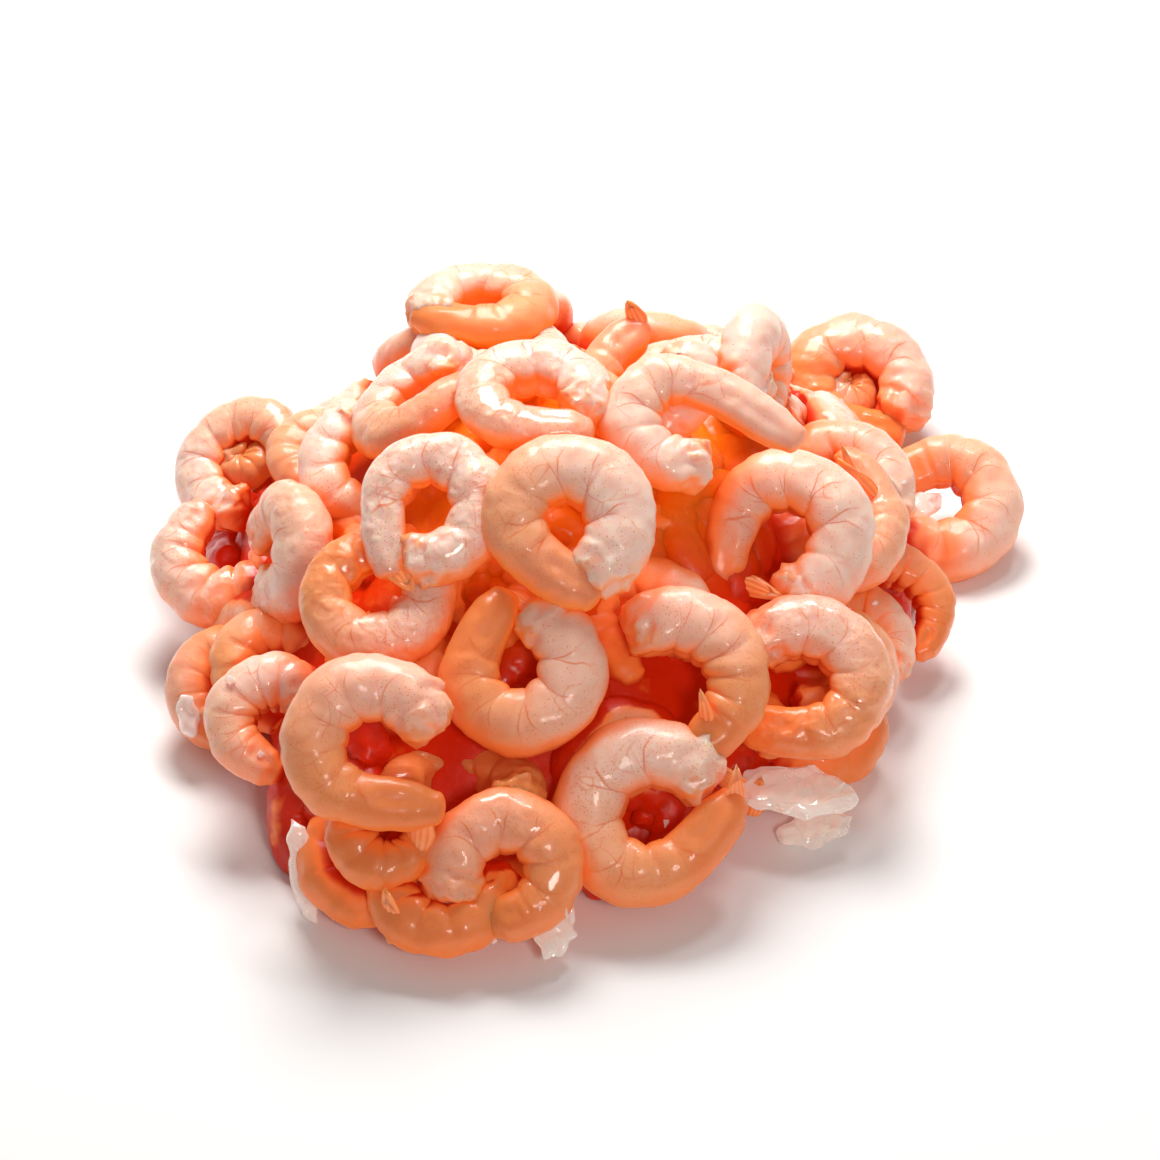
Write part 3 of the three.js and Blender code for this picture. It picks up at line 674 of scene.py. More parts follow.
def shrimp_surface(shrimp, seed, rings, sides, relief):
    """Points, faces and attributes of one shrimp, in mm."""
    curl, plane, centre = shrimp["curl"], shrimp["plane"], shrimp["centre"]
    draw = np.random.default_rng(seed)
    line, s_line = centreline(curl, FINE_BODY, FINE_TAIL)
    steps = np.linalg.norm(np.diff(line, axis=0), axis=1)
    measured = np.concatenate([[0], np.cumsum(steps)])
    length = measured[-1]
    head = HEAD_CAP * half_width(curl, 0)
    tail = TAIL_CAP * half_width(curl, 2)
    cap = np.linspace(0, math.pi / 2, CAP_RINGS + 1)
    along = np.concatenate([-head * np.cos(cap[:-1]), np.linspace(0, length, rings),
                            length + tail * np.sin(cap[1:])])
    on_line = np.clip(along, 0, length)
    past = along - on_line
    s = np.interp(on_line, measured, s_line)
    heading = np.gradient(line, measured, axis=0)
    heading /= np.linalg.norm(heading, axis=1)[:, None]
    heading = np.column_stack([np.interp(on_line, measured, heading[:, k]) for k in range(2)])
    heading /= np.linalg.norm(heading, axis=1)[:, None]
    middle = np.column_stack([np.interp(on_line, measured, line[:, k]) for k in range(2)])
    middle = middle + heading * past[:, None]
    outward = curl["hand"] * np.column_stack([heading[:, 1], -heading[:, 0]])
    blunt = (1 - np.clip(-past / head, 0, 1) ** HEAD_BLUNT) ** (1 / HEAD_BLUNT)
    width = smooth_width(curl, s) * blunt * np.sqrt(1 - np.clip(past / tail, 0, 1) ** 2)

    angle = 2 * math.pi * np.arange(sides) / sides
    turn = np.minimum(angle, 2 * math.pi - angle)
    belly = (1 - np.cos(angle)) / 2
    groove_at = np.exp(-(np.sin(angle) / GROOVE_WIDTH) ** 2) * (np.cos(angle) < 0)
    across = np.cos(angle) + GROOVE_SHARE * groove_at
    skew = CREASE_SKEW * np.cos(2 * turn)[None]
    count = segment_count(s[:, None] + skew * smooth(s, 0.05, 0.2)[:, None])
    near = np.abs(count - np.round(count))
    creased = (np.round(count) >= 1) & (np.round(count) < len(SEGMENT_AT))
    part = count - np.floor(count)
    bulge = (1 - (2 * part - 1) ** 2 - 0.5) * (count < len(SEGMENT_AT) - 1)
    bulge = bulge * smooth(count, 0.1, 0.6)
    depth = relief.pillow * (1 - belly) + relief.scallop * belly ** 2
    segment = np.clip(np.floor(count), 0, len(SEGMENT_AT)).astype(int)
    bump = bulge * depth[None] * draw.uniform(*SEGMENT_VARIES, len(SEGMENT_AT) + 1)[segment]
    bump = bump - relief.crease * np.exp(-(near / CREASE_WIDTH) ** 2) * creased * (0.6 + 0.4 * belly)
    flank = np.exp(-((turn - FLANK_AT) / FLANK_WIDTH) ** 2)
    groove = smooth(count, *TAIL_GROOVE_FROM) * (1 - smooth(count, *TAIL_GROOVE_TO))
    bump = bump - relief.tail_groove * flank[None] * groove
    mask = np.exp(-(np.clip(along, 0, None) / RAGGED_REACH) ** 2) * blunt ** 0.5
    petals = sum(np.sin(k * angle + draw.uniform(0, 6.3)) / k ** 0.5 for k in (4, 7, 11))
    bump = bump + relief.ragged * 0.2 * petals[None] * mask[:, None]
    shifts = sum(np.sin(k * angle + draw.uniform(0, 6.3)) / k ** 0.4 for k in (2, 4, 7, 11))
    nub = np.exp(-((turn - math.pi * draw.uniform(0.72, 1.0)) / 0.42) ** 2)
    slid = relief.ragged * (0.3 * shifts - draw.uniform(0.6, 2.2) * nub)
    slid = slid[None] * (mask * smooth(np.abs(blunt), 0.1, 0.9))[:, None]

    right, up, normal = plane
    out_axis = outward[:, :1] * right + outward[:, 1:] * up
    ahead = heading[:, :1] * right + heading[:, 1:] * up
    bump_mm, slid_mm = bump / MM, slid / MM
    points = (middle[:, :1] * right + middle[:, 1:] * up)[:, None]
    points = points + out_axis[:, None] * (width[:, None] * across + bump_mm * np.cos(angle))[..., None]
    sideways = width[:, None] * FLATNESS * np.sin(angle) + bump_mm * np.sin(angle)
    points = points + normal * sideways[..., None] + ahead[:, None] * slid_mm[..., None]
    seed_shift = draw.uniform(-50, 50, 3)
    slow = (waves(points + seed_shift, seed, SLOW_WAVES[0])
            + 0.5 * waves(points + seed_shift, seed + 1, SLOW_WAVES[1]))
    radial = out_axis[:, None] * np.cos(angle)[:, None] + normal * np.sin(angle)[:, None]
    points = points + radial * (slow * relief.uneven / MM * (width / width.max())[:, None])[..., None]
    lumps = waves(points + seed_shift, seed + 2, LUMP_WAVE) * relief.ragged / MM * mask[:, None]
    shoves = waves(points + seed_shift, seed + 3, SHOVE_WAVE) * relief.ragged / MM * mask[:, None]
    points = points + radial * lumps[..., None] + ahead[:, None] * shoves[..., None]
    points = points + centre

    rows = len(along)
    cut = np.exp(-np.clip(along, 0, None) / CUT_REACH)
    tip = smooth(along, length - TIP_REACH, length + tail)
    attributes = {
        "seg": count,
        "around": np.broadcast_to(turn / math.pi, count.shape),
        "cut": np.broadcast_to(cut[:, None], count.shape),
        "tip": np.broadcast_to(tip[:, None], count.shape),
    }
    return grid_mesh(points, attributes, rows, sides, curl["hand"] < 0)


def grid_mesh(points, attributes, rows, sides, flip):
    """Closes a grid of rings whose first and last ring are drawn together into points."""
    flat = points[1:-1].reshape(-1, 3)
    ends = [points[0].mean(axis=0), points[-1].mean(axis=0)]
    index = np.arange((rows - 2) * sides).reshape(rows - 2, sides)
    beside = np.roll(index, -1, axis=1)
    quads = np.stack([index[:-1], index[1:], beside[1:], beside[:-1]], axis=-1).reshape(-1, 4)
    first, last = len(flat), len(flat) + 1
    caps = [(first, a, b) for a, b in zip(index[0], beside[0])]
    caps += [(last, b, a) for a, b in zip(index[-1], beside[-1])]
    faces = [tuple(quad) for quad in quads.tolist()] + [tuple(map(int, cap)) for cap in caps]
    if flip:
        faces = [face[::-1] for face in faces]
    values = {name: np.concatenate([value[1:-1].reshape(-1), [value[0].mean(), value[-1].mean()]])
              for name, value in attributes.items()}
    return np.vstack([flat, ends]), faces, values


def nearest_on_chain(points, at, size):
    """The nearest place on a neighbour's centreline and the neighbour's thickness there."""
    start, span = at[:-1], at[1:] - at[:-1]
    share = ((points[:, None] - start) * span).sum(axis=2) / (span ** 2).sum(axis=1)
    share = np.clip(share, 0, 1)
    place = start + span * share[..., None]
    thick = size[:-1] + (size[1:] - size[:-1]) * share
    away = points[:, None] - place
    far = np.linalg.norm(away, axis=2)
    best = np.argmax(thick - far, axis=1)
    row = np.arange(len(points))
    return away[row, best], far[row, best], thick[row, best]


def pressed_flat(points, shrimp, heap):
    """Points inside a neighbour are moved halfway out of it, so that the two meet in a face."""
    for other in heap.shrimp:
        if other is shrimp or np.linalg.norm(other["centre"] - shrimp["centre"]) > NEIGHBOUR_REACH:
            continue
        away, far, thick = nearest_on_chain(points, other["at"], other["size"])
        inside = np.clip(thick + PRESS_MARGIN - far, 0, None)
        points = points + away / np.maximum(far, 0.1)[:, None] * (inside * PRESS_SHARE)[:, None]
    points[:, 2] = np.maximum(points[:, 2], 0)
    return points


def painted_shade_amount(points, normals, at, size):
    """How much painted shade a point gets, from 0 to about 1: from how much of what it faces is filled by
    other shrimp, how deep it lies in the mound, how low it lies and how far it faces away from the light.
    """
    shade = np.zeros(len(points))
    for start in range(0, len(points), SHADE_CHUNK):
        some = slice(start, start + SHADE_CHUNK)
        near = np.abs(at - points[some].mean(axis=0)).max(axis=1) < SHADE_REACH
        away = at[near][None] - points[some, None]
        far = np.sqrt(np.einsum("ijk,ijk->ij", away, away))
        facing = np.clip(np.einsum("ijk,ik->ij", away, normals[some]) / far, 0, 1)
        above = SIDE_SHARE + (1 - SIDE_SHARE) * np.clip(away @ SHADE_FROM / far, 0, 1)
        shade[some] = (facing * above * np.minimum(size[near] / far, 1) ** 2).sum(axis=1)
    # Painted shade also from lying buried under the mound, lying low and facing away from the light
    buried = np.clip(mound(points[:, 0], points[:, 1]) - points[:, 2] - BURIED_FROM, 0, 25)
    low = np.clip(1 - points[:, 2] / LOW_UNDER, 0, 1)
    turned = np.clip(TURNED_FROM - normals @ SHADE_FROM, 0, None)
    total = shade * SHADE_SHARE + buried * BURIED_SHARE + low * LOW_SHARE + turned * TURNED_SHARE
    return 1 - np.exp(-total)


def all_balls():
    """Centres and sizes of the contact balls of every shrimp."""
    rows = laid_heap().shrimp + layer_underneath() + behind_holes()
    return np.vstack([row["at"] for row in rows]), np.concatenate([row["size"] for row in rows])


def in_frame(points):
    """From layout millimetres to the frame's metres."""
    return (points - MIDDLE_OF_ALL) * MM


def new_object(name, points, faces, attributes, material):
    mesh = bpy.data.meshes.new(name)
    mesh.from_pydata(points.tolist(), [], faces)
    for key, values in attributes.items():
        layer = mesh.attributes.new(key, "FLOAT", "POINT")
        layer.data.foreach_set("value", np.asarray(values, np.float32))
    mesh.shade_smooth()
    mesh.materials.append(material)
    made = bpy.data.objects.new(name, mesh)
    bpy.context.scene.collection.objects.link(made)
    return made


def read_rows(items, key):
    """Three numbers of each item of a mesh, such as its place, as rows."""
    rows = np.empty(len(items) * 3, np.float32)
    items.foreach_get(key, rows)
    return rows.reshape(-1, 3)


def add_painted_shade(piece):
    """Adds the attribute of how much painted shade each point gets, from every shrimp's contact balls."""
    mesh = piece.data
    points = read_rows(mesh.vertices, "co") / MM + MIDDLE_OF_ALL
    values = painted_shade_amount(points, read_rows(mesh.vertex_normals, "vector"), *all_balls())
    layer = mesh.attributes.new("crevice", "FLOAT", "POINT")
    layer.data.foreach_set("value", values.astype(np.float32))


def dress(piece, *nodes, slot="shrimp"):
    """Says where a finished piece rides and hides the parts of the model that it stands for."""
    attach(piece, "root")
    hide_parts(*nodes)


def shrimp_piece(name, chosen, rings, sides):
    """One piece of several shrimp, each with its own tone, speckles and wetness."""
    relief = bpy.context.scene.heap_relief
    heap = laid_heap()
    points, faces, values = [], [], {}
    start = 0
    for index, shrimp in chosen:
        own, own_faces, attributes = shrimp_surface(shrimp, 100 + index, rings, sides, relief)
        own = pressed_flat(own, shrimp, heap)
        draw = np.random.default_rng(500 + index)
        look = dict(zip(("tone", "speckle", "wet", "shade"), LOOKS.get(shrimp["name"], ())))
        # Painted shade: the lower a shrimp lies in the picture, the deeper its tone
        deeper = PAINTED_SHADE_FALL * (PAINTED_SHADE_LEVEL - (shrimp["centre"] - pictured(0, 0)) @ UP)
        tone = look.get("tone", draw.uniform(0.2, 0.8)) + deeper
        attributes["tone"] = np.full(len(own), tone)
        attributes["speckle"] = np.full(len(own), look.get("speckle", draw.uniform(0.1, 0.7)))
        attributes["wet"] = np.full(len(own), look.get("wet", draw.uniform(0, 0.4)))
        attributes["shade"] = np.full(len(own), look.get("shade", 0.0))
        points.append(own)
        faces += [tuple(corner + start for corner in face) for face in own_faces]
        start += len(own)
        for key, value in attributes.items():
            values.setdefault(key, []).append(value)
    values = {key: np.concatenate(value) for key, value in values.items()}
    piece = new_object(name, in_frame(np.vstack(points)), faces, values, flesh_material())
    add_painted_shade(piece)
    dress(piece, HEAP)
    return piece


# Short ways to build node trees

def add(tree, kind, inputs=None, **settings):
    """Adds a node. An input that is given a socket is joined to it, and any other is set."""
    made = tree.nodes.new(kind)
    for key, value in settings.items():
        setattr(made, key, value)
    for key, value in (inputs or {}).items():
        if isinstance(value, bpy.types.NodeSocket):
            tree.links.new(value, made.inputs[key])
        else:
            made.inputs[key].default_value = value
    return made


def maths(tree, operation, *values, clamp=False):
    return add(tree, "ShaderNodeMath", dict(enumerate(values)), operation=operation,
               use_clamp=clamp).outputs[0]


def ramp(tree, value, low, high, start=0.0, end=1.0):
    """A soft step between two values."""
    values = {"Value": value, "From Min": low, "From Max": high, "To Min": start, "To Max": end}
    return add(tree, "ShaderNodeMapRange", values, interpolation_type="SMOOTHSTEP").outputs["Result"]


def mixed(tree, share, first, second):
    """Mixes two colours."""
    first, second = (value if isinstance(value, bpy.types.NodeSocket) else (*value, 1)
                     for value in (first, second))
    made = add(tree, "ShaderNodeMix", {0: share, 6: first, 7: second}, data_type="RGBA")
    return made.outputs[2]


def noise(tree, where, scale, detail=2.0, rough=0.5):
    values = {"Vector": where, "Scale": scale, "Detail": detail, "Roughness": rough}
    return add(tree, "ShaderNodeTexNoise", values).outputs["Fac"]


def place_of(tree):
    return add(tree, "ShaderNodeTexCoord").outputs["Object"]


def height_of(tree, where):
    return add(tree, "ShaderNodeSeparateXYZ", {"Vector": where}).outputs["Z"]


def carried(tree, name):
    """A value that the mesh carries at each point."""
    return add(tree, "ShaderNodeAttribute", attribute_name=name).outputs["Fac"]


def new_group(name, inputs, outputs):
    """A node group with named sockets."""
    group = bpy.data.node_groups.new(name, "ShaderNodeTree")
    for side, sockets in (("INPUT", inputs), ("OUTPUT", outputs)):
        for socket, kind in sockets.items():
            group.interface.new_socket(name=socket, in_out=side, socket_type=f"NodeSocket{kind}")
    return group, group.nodes.new("NodeGroupInput"), group.nodes.new("NodeGroupOutput")


def placed_group(tree, group, inputs):
    return add(tree, "ShaderNodeGroup", inputs, node_tree=group).outputs


def new_material(name, **constants):
    """A Principled material. Values that are the same all over are set on the shader itself."""
    material = bpy.data.materials.new(name)
    material.use_nodes = True
    shader = material.node_tree.nodes["Principled BSDF"]
    for key, value in constants.items():
        shader.inputs[key.replace("_", " ")].default_value = value
    return material, material.node_tree, shader


def join(tree, links, shader):
    for key, value in links.items():
        tree.links.new(value, shader.inputs[key])


@functools.lru_cache(maxsize=1)
def painted_shade_tint():
    """Paints shade and glow into a colour: deepens it to the red and orange of what lies between the
    shrimp as painted shade, and gives the painted glow of light through the flesh there.
    """
    colours = bpy.context.scene.heap_colours
    group, given, out = new_group("Depth tint", {"Colour": "Color", "Crevice": "Float", "Height": "Float"},
                                  {"Colour": "Color", "Glow": "Color"})
    # Painted light: the shade and the gaps are painted more orange higher up, where light comes through
    # from behind and above
    rise = ramp(group, given.outputs["Height"], 0.034, 0.062)
    gap = mixed(group, rise, colours.painted_low_gap, colours.painted_high_gap)
    touch = mixed(group, rise, colours.painted_warm_shade, colours.high_painted_warm_shade)
    # Painted shade: warmer where the shrimp touch, and deep red or orange in the gaps where they are most
    # closed in
    painted_warm_shade = ramp(group, given.outputs["Crevice"], 0.12, 0.66, 0.0, 0.85)
    first = mixed(group, painted_warm_shade, given.outputs["Colour"], touch)
    deep = ramp(group, given.outputs["Crevice"], 0.62, 0.9)
    group.links.new(mixed(group, deep, first, gap), out.inputs["Colour"])
    # Painted glow: the emission that stands for light shining through the flesh in the shade and the gaps
    painted_low_glow = mixed(group, painted_warm_shade, (0, 0, 0), touch)
    painted_high_glow = mixed(group, 0.5, (0, 0, 0), gap)
    group.links.new(mixed(group, deep, painted_low_glow, painted_high_glow), out.inputs["Glow"])
    return group


@functools.lru_cache(maxsize=1)
def wet_film():
    """Roughness, coat and small lumps of a surface that is more or less wet."""
    group, given, out = new_group("Wet film", {"Wet": "Float", "Place": "Vector"},
                                  {"Roughness": "Float", "Coat": "Float", "Lumps": "Float"})
    wet, place = given.outputs["Wet"], given.outputs["Place"]
    patch = noise(group, place, 130, 1)
    film = maths(group, "MULTIPLY", ramp(group, patch, 0.4, 0.62), ramp(group, wet, 0.0, 0.8), clamp=True)
    fine = noise(group, place, 900, 0)
    dry = maths(group, "ADD", maths(group, "MULTIPLY", fine, 0.16), 0.36)
    group.links.new(maths(group, "SUBTRACT", dry, maths(group, "MULTIPLY", film, 0.16)),
                    out.inputs["Roughness"])
    group.links.new(maths(group, "ADD", maths(group, "MULTIPLY", film, 0.75), 0.25), out.inputs["Coat"])
    broad = noise(group, place, 330, 0)
    lumps = maths(group, "MULTIPLY", broad, maths(group, "ADD", maths(group, "MULTIPLY", wet, 0.9), 0.5))
    beads = maths(group, "MULTIPLY", ramp(group, noise(group, place, 520, 0), 0.42, 0.8), wet)
    lumps = maths(group, "ADD", lumps, maths(group, "MULTIPLY", beads, 0.6))
    group.links.new(lumps, out.inputs["Lumps"])
    return group


@functools.lru_cache(maxsize=1)
def speckles():
    """Fine dark specks of pigment, some places with many and some with few."""
    group, given, out = new_group("Speckles", {"Place": "Vector", "Density": "Float"}, {"Specks": "Float"})
    place = given.outputs["Place"]
    total = None
    for scale, size in ((1100, 0.23), (1700, 0.27)):
        cells = add(group, "ShaderNodeTexVoronoi", {"Vector": place, "Scale": scale})
        lot = add(group, "ShaderNodeSeparateColor", {"Color": cells.outputs["Color"]}).outputs["Red"]
        clump = ramp(group, noise(group, place, 110, 1), 0.3, 0.62, 0.25, 1.4)
        chosen = maths(group, "LESS_THAN", lot, maths(group, "MULTIPLY", given.outputs["Density"], clump))
        dot = ramp(group, cells.outputs["Distance"], size * 0.5, size, 1.0, 0.0)
        dot = maths(group, "MULTIPLY", dot, chosen)
        total = dot if total is None else maths(group, "MAXIMUM", total, dot)
    group.links.new(total, out.inputs["Specks"])
    return group


@functools.lru_cache(maxsize=1)
def vein_net():
    """A broken net of hair-thin forked veins."""
    group, given, out = new_group("Vein net", {"Place": "Vector"}, {"Veins": "Float"})
    place = given.outputs["Place"]
    bend = add(group, "ShaderNodeTexNoise", {"Vector": place, "Scale": 160.0, "Detail": 0.0})
    shift = add(group, "ShaderNodeVectorMath", {0: bend.outputs["Color"], 1: (0.5, 0.5, 0.5)},
                operation="SUBTRACT")
    moved = add(group, "ShaderNodeVectorMath", {0: shift.outputs["Vector"], 1: (0.006, 0.006, 0.006),
                                                2: place}, operation="MULTIPLY_ADD")
    cells = add(group, "ShaderNodeTexVoronoi", {"Vector": moved.outputs["Vector"], "Scale": 150.0},
                feature="DISTANCE_TO_EDGE")
    thin = ramp(group, cells.outputs["Distance"], 0.008, 0.03, 1.0, 0.0)
    kept = ramp(group, noise(group, place, 120, 1), 0.47, 0.62)
    group.links.new(maths(group, "MULTIPLY", thin, kept), out.inputs["Veins"])
    return group


@functools.lru_cache(maxsize=1)
def flesh_material():
    """Cooked flesh: milky at the head end and orange at the tail, with lines and specks, and with painted
    shade and a painted glow where shrimp touch.
    """
    colours = bpy.context.scene.heap_colours
    material, tree, shader = new_material(
        "Cooked flesh", Subsurface_Weight=0.62, Subsurface_Radius=(1.0, 0.3, 0.12),
        Subsurface_Scale=0.0055, IOR=1.4, Coat_Roughness=0.04, Coat_IOR=1.45, Emission_Strength=0.2)
    place = place_of(tree)
    segment, around = carried(tree, "seg"), carried(tree, "around")
    # Painted shade: how much each point is darkened and warmed where shrimp touch, lie low or face away
    # from the light, plus each shrimp's own extra shade where it is closed in
    crevice = carried(tree, "crevice")
    closed_in = ramp(tree, crevice, 0.12, 0.45)
    crevice = maths(tree, "MULTIPLY_ADD", carried(tree, "shade"), closed_in, crevice)

    drift = maths(tree, "MULTIPLY", maths(tree, "SUBTRACT", noise(tree, place, 90, 1), 0.5), 1.6)
    along = maths(tree, "ADD", segment, drift)
    colour = mixed(tree, ramp(tree, along, 1.2, 4.6), colours.head, colours.middle)
    colour = mixed(tree, ramp(tree, along, 4.4, 6.8), colour, colours.tail)
    tone = maths(tree, "SUBTRACT", carried(tree, "tone"), 0.5)
    colour = mixed(tree, maths(tree, "MULTIPLY", tone, 1.4, clamp=True), colour, colours.tail)
    colour = mixed(tree, maths(tree, "MULTIPLY", tone, -1.1, clamp=True), colour, colours.head)
    # Painted shade: the belly side, on the inner edge of the curl, is mixed towards the tail colour for
    # shade and light through the flesh there
    belly = ramp(tree, around, 0.55, 0.95, 0.0, 0.35)
    colour = mixed(tree, belly, colour, colours.tail)
    mottle = ramp(tree, noise(tree, place, 420, 1, 0.6), 0.35, 0.75, 0.0, 0.16)
    colour = mixed(tree, mottle, colour, colours.tail)

    wobble = maths(tree, "MULTIPLY", maths(tree, "SUBTRACT", noise(tree, place, 260, 1), 0.5), 0.16)
    spread = maths(tree, "MULTIPLY", maths(tree, "SUBTRACT", 0.66, around), 0.62)
    spread = maths(tree, "MAXIMUM", spread, 0.0)
    lines = None
    for side in (1.0, -1.0):
        moved = maths(tree, "MULTIPLY_ADD", spread, side, maths(tree, "ADD", segment, wobble))
        from_line = maths(tree, "ABSOLUTE", maths(tree, "SUBTRACT", moved, maths(tree, "ROUND", moved)))
        near = ramp(tree, from_line, 0.006, 0.034, 1.0, 0.0)
        lines = near if lines is None else maths(tree, "MAXIMUM", lines, near)
    kept = maths(tree, "MULTIPLY", ramp(tree, around, 0.22, 0.45), ramp(tree, segment, 0.6, 0.9))
    kept = maths(tree, "MULTIPLY", kept, ramp(tree, segment, 6.1, 6.3, 1.0, 0.0))
    kept = maths(tree, "MULTIPLY", kept, ramp(tree, noise(tree, place, 170, 1), 0.36, 0.6, 0.1, 0.7))
    colour = mixed(tree, maths(tree, "MULTIPLY", lines, kept), colour, colours.line)
    veins = placed_group(tree, vein_net(), {"Place": place})["Veins"]
    veins = maths(tree, "MULTIPLY", veins, ramp(tree, around, 0.15, 0.5, 0.08, 0.42))
    veins = maths(tree, "MULTIPLY", veins, ramp(tree, segment, 0.7, 1.4, 0.3, 1.0))
    colour = mixed(tree, veins, colour, colours.line)

    edge = ramp(tree, noise(tree, place, 300, 1, 0.65), 0.42, 0.6)
    edge = maths(tree, "MULTIPLY", edge, ramp(tree, around, 0.35, 0.8, 0.15, 0.9))
    cut = maths(tree, "MULTIPLY", carried(tree, "cut"), edge)
    colour = mixed(tree, cut, colour, colours.shell)
    tip = maths(tree, "MULTIPLY", carried(tree, "tip"), 0.5)
    colour = mixed(tree, tip, colour, colours.line)

    density = maths(tree, "MULTIPLY", carried(tree, "speckle"), ramp(tree, along, 1.0, 5.0, 0.7, 1.5))
    specks = placed_group(tree, speckles(), {"Place": place, "Density": density})["Specks"]
    colour = mixed(tree, maths(tree, "MULTIPLY", specks, 0.75), colour, colours.speck)

    tinted = placed_group(tree, painted_shade_tint(),
                          {"Colour": colour, "Crevice": crevice, "Height": height_of(tree, place)})
    film = placed_group(tree, wet_film(), {"Wet": carried(tree, "wet"), "Place": place})
    bump = add(tree, "ShaderNodeBump", {"Height": film["Lumps"], "Strength": 0.55, "Distance": 0.0006})
    coat = maths(tree, "MULTIPLY", film["Coat"], ramp(tree, crevice, 0.45, 0.85, 1.0, 0.15))
    # The painted glow of light through the flesh goes into the emission
    join(tree, {"Base Color": tinted["Colour"], "Roughness": film["Roughness"],
                "Coat Weight": coat, "Emission Color": tinted["Glow"],
                "Normal": bump.outputs["Normal"]}, shader)
    return material


@functools.lru_cache(maxsize=1)
def depth_material():
    """What shows deepest between the shrimp: wet flesh, dark with painted shade and with a painted glow.
    """
    colours = bpy.context.scene.heap_colours
    material, tree, shader = new_material("Deep flesh", IOR=1.4, Specular_IOR_Level=0.15,
                                          Emission_Strength=0.2)
    place = place_of(tree)
    mottle = noise(tree, place, 150, 4)
    colour = mixed(tree, ramp(tree, mottle, 0.35, 0.7), colours.tail, colours.shell)
    # Painted shade: nearly full all over the core
    crevice = ramp(tree, noise(tree, place, 220, 3), 0.3, 0.8, 1.0, 0.8)
    tinted = placed_group(tree, painted_shade_tint(),
                          {"Colour": colour, "Crevice": crevice, "Height": height_of(tree, place)})
    film = placed_group(tree, wet_film(), {"Wet": 0.3, "Place": place})
    bump = add(tree, "ShaderNodeBump", {"Height": mottle, "Strength": 0.6, "Distance": 0.001})
    join(tree, {"Base Color": tinted["Colour"], "Roughness": film["Roughness"],
                "Emission Color": tinted["Glow"], "Normal": bump.outputs["Normal"]}, shader)
    return material


@functools.lru_cache(maxsize=1)
def shell_material():
    """Thin tail shell and fins, orange red and darker between the ribs, with a painted glow."""
    colours = bpy.context.scene.heap_colours
    material, tree, shader = new_material(
        "Tail shell", Subsurface_Weight=0.3, Subsurface_Radius=(1.0, 0.3, 0.1), Subsurface_Scale=0.001,
        IOR=1.45, Coat_Roughness=0.1, Emission_Strength=0.2)
    place = place_of(tree)
    rib = carried(tree, "rib")
    colour = mixed(tree, ramp(tree, rib, 0.1, 0.9), colours.line, colours.shell)
    pale = ramp(tree, noise(tree, place, 260, 3), 0.42, 0.75, 0.0, 0.5)
    colour = mixed(tree, pale, colour, colours.middle)
    specks = placed_group(tree, speckles(), {"Place": place, "Density": 0.8})["Specks"]
    colour = mixed(tree, maths(tree, "MULTIPLY", specks, 0.7), colour, colours.speck)
    film = placed_group(tree, wet_film(), {"Wet": 0.5, "Place": place})
    bump = add(tree, "ShaderNodeBump", {"Height": film["Lumps"], "Strength": 0.3, "Distance": 0.0005})
    # The shell's own colour is also its emission, a painted glow for light through the thin shell
    join(tree, {"Base Color": colour, "Roughness": film["Roughness"], "Coat Weight": film["Coat"],
                "Emission Color": colour, "Normal": bump.outputs["Normal"]}, shader)
    return material


@functools.lru_cache(maxsize=1)
def ice_material():
    """Clear ice with milky patches, melted smooth at its edges, and a painted glow."""
    colours = bpy.context.scene.heap_colours
    material, tree, shader = new_material(
        "Flake ice", Transmission_Weight=0.35, Subsurface_Weight=0.7, Subsurface_Scale=0.004,
        Subsurface_Radius=(1.0, 0.7, 0.6), IOR=1.31, Coat_Weight=1.0, Coat_Roughness=0.03, Coat_IOR=1.6,
        Emission_Strength=0.1)
    place = place_of(tree)
    milky = ramp(tree, noise(tree, place, 160, 4, 0.6), 0.4, 0.68)
    pale = tuple(min(1.0, channel * 1.03) for channel in colours.ice)
    colour = mixed(tree, milky, colours.ice, pale)
    rough = maths(tree, "MULTIPLY_ADD", milky, 0.22, 0.07)
    ripple = maths(tree, "ADD", noise(tree, place, 240, 3), maths(tree, "MULTIPLY", milky, 0.3))
    bump = add(tree, "ShaderNodeBump", {"Height": ripple, "Strength": 0.5, "Distance": 0.0006})
    # The ice's own colour is also its emission, a painted glow that brightens it where it lies in shade
    join(tree, {"Base Color": colour, "Roughness": rough, "Emission Color": colour,
                "Normal": bump.outputs["Normal"]}, shader)
    return material


@functools.lru_cache(maxsize=1)
def floor_material():
    material, tree, shader = new_material("Pale floor", Roughness=0.9)
    faint = ramp(tree, noise(tree, place_of(tree), 3, 2), 0.3, 0.7)
    darker = tuple(channel * 0.99 for channel in FLOOR_COLOUR)
    join(tree, {"Base Color": mixed(tree, faint, FLOOR_COLOUR, darker)}, shader)
    return material


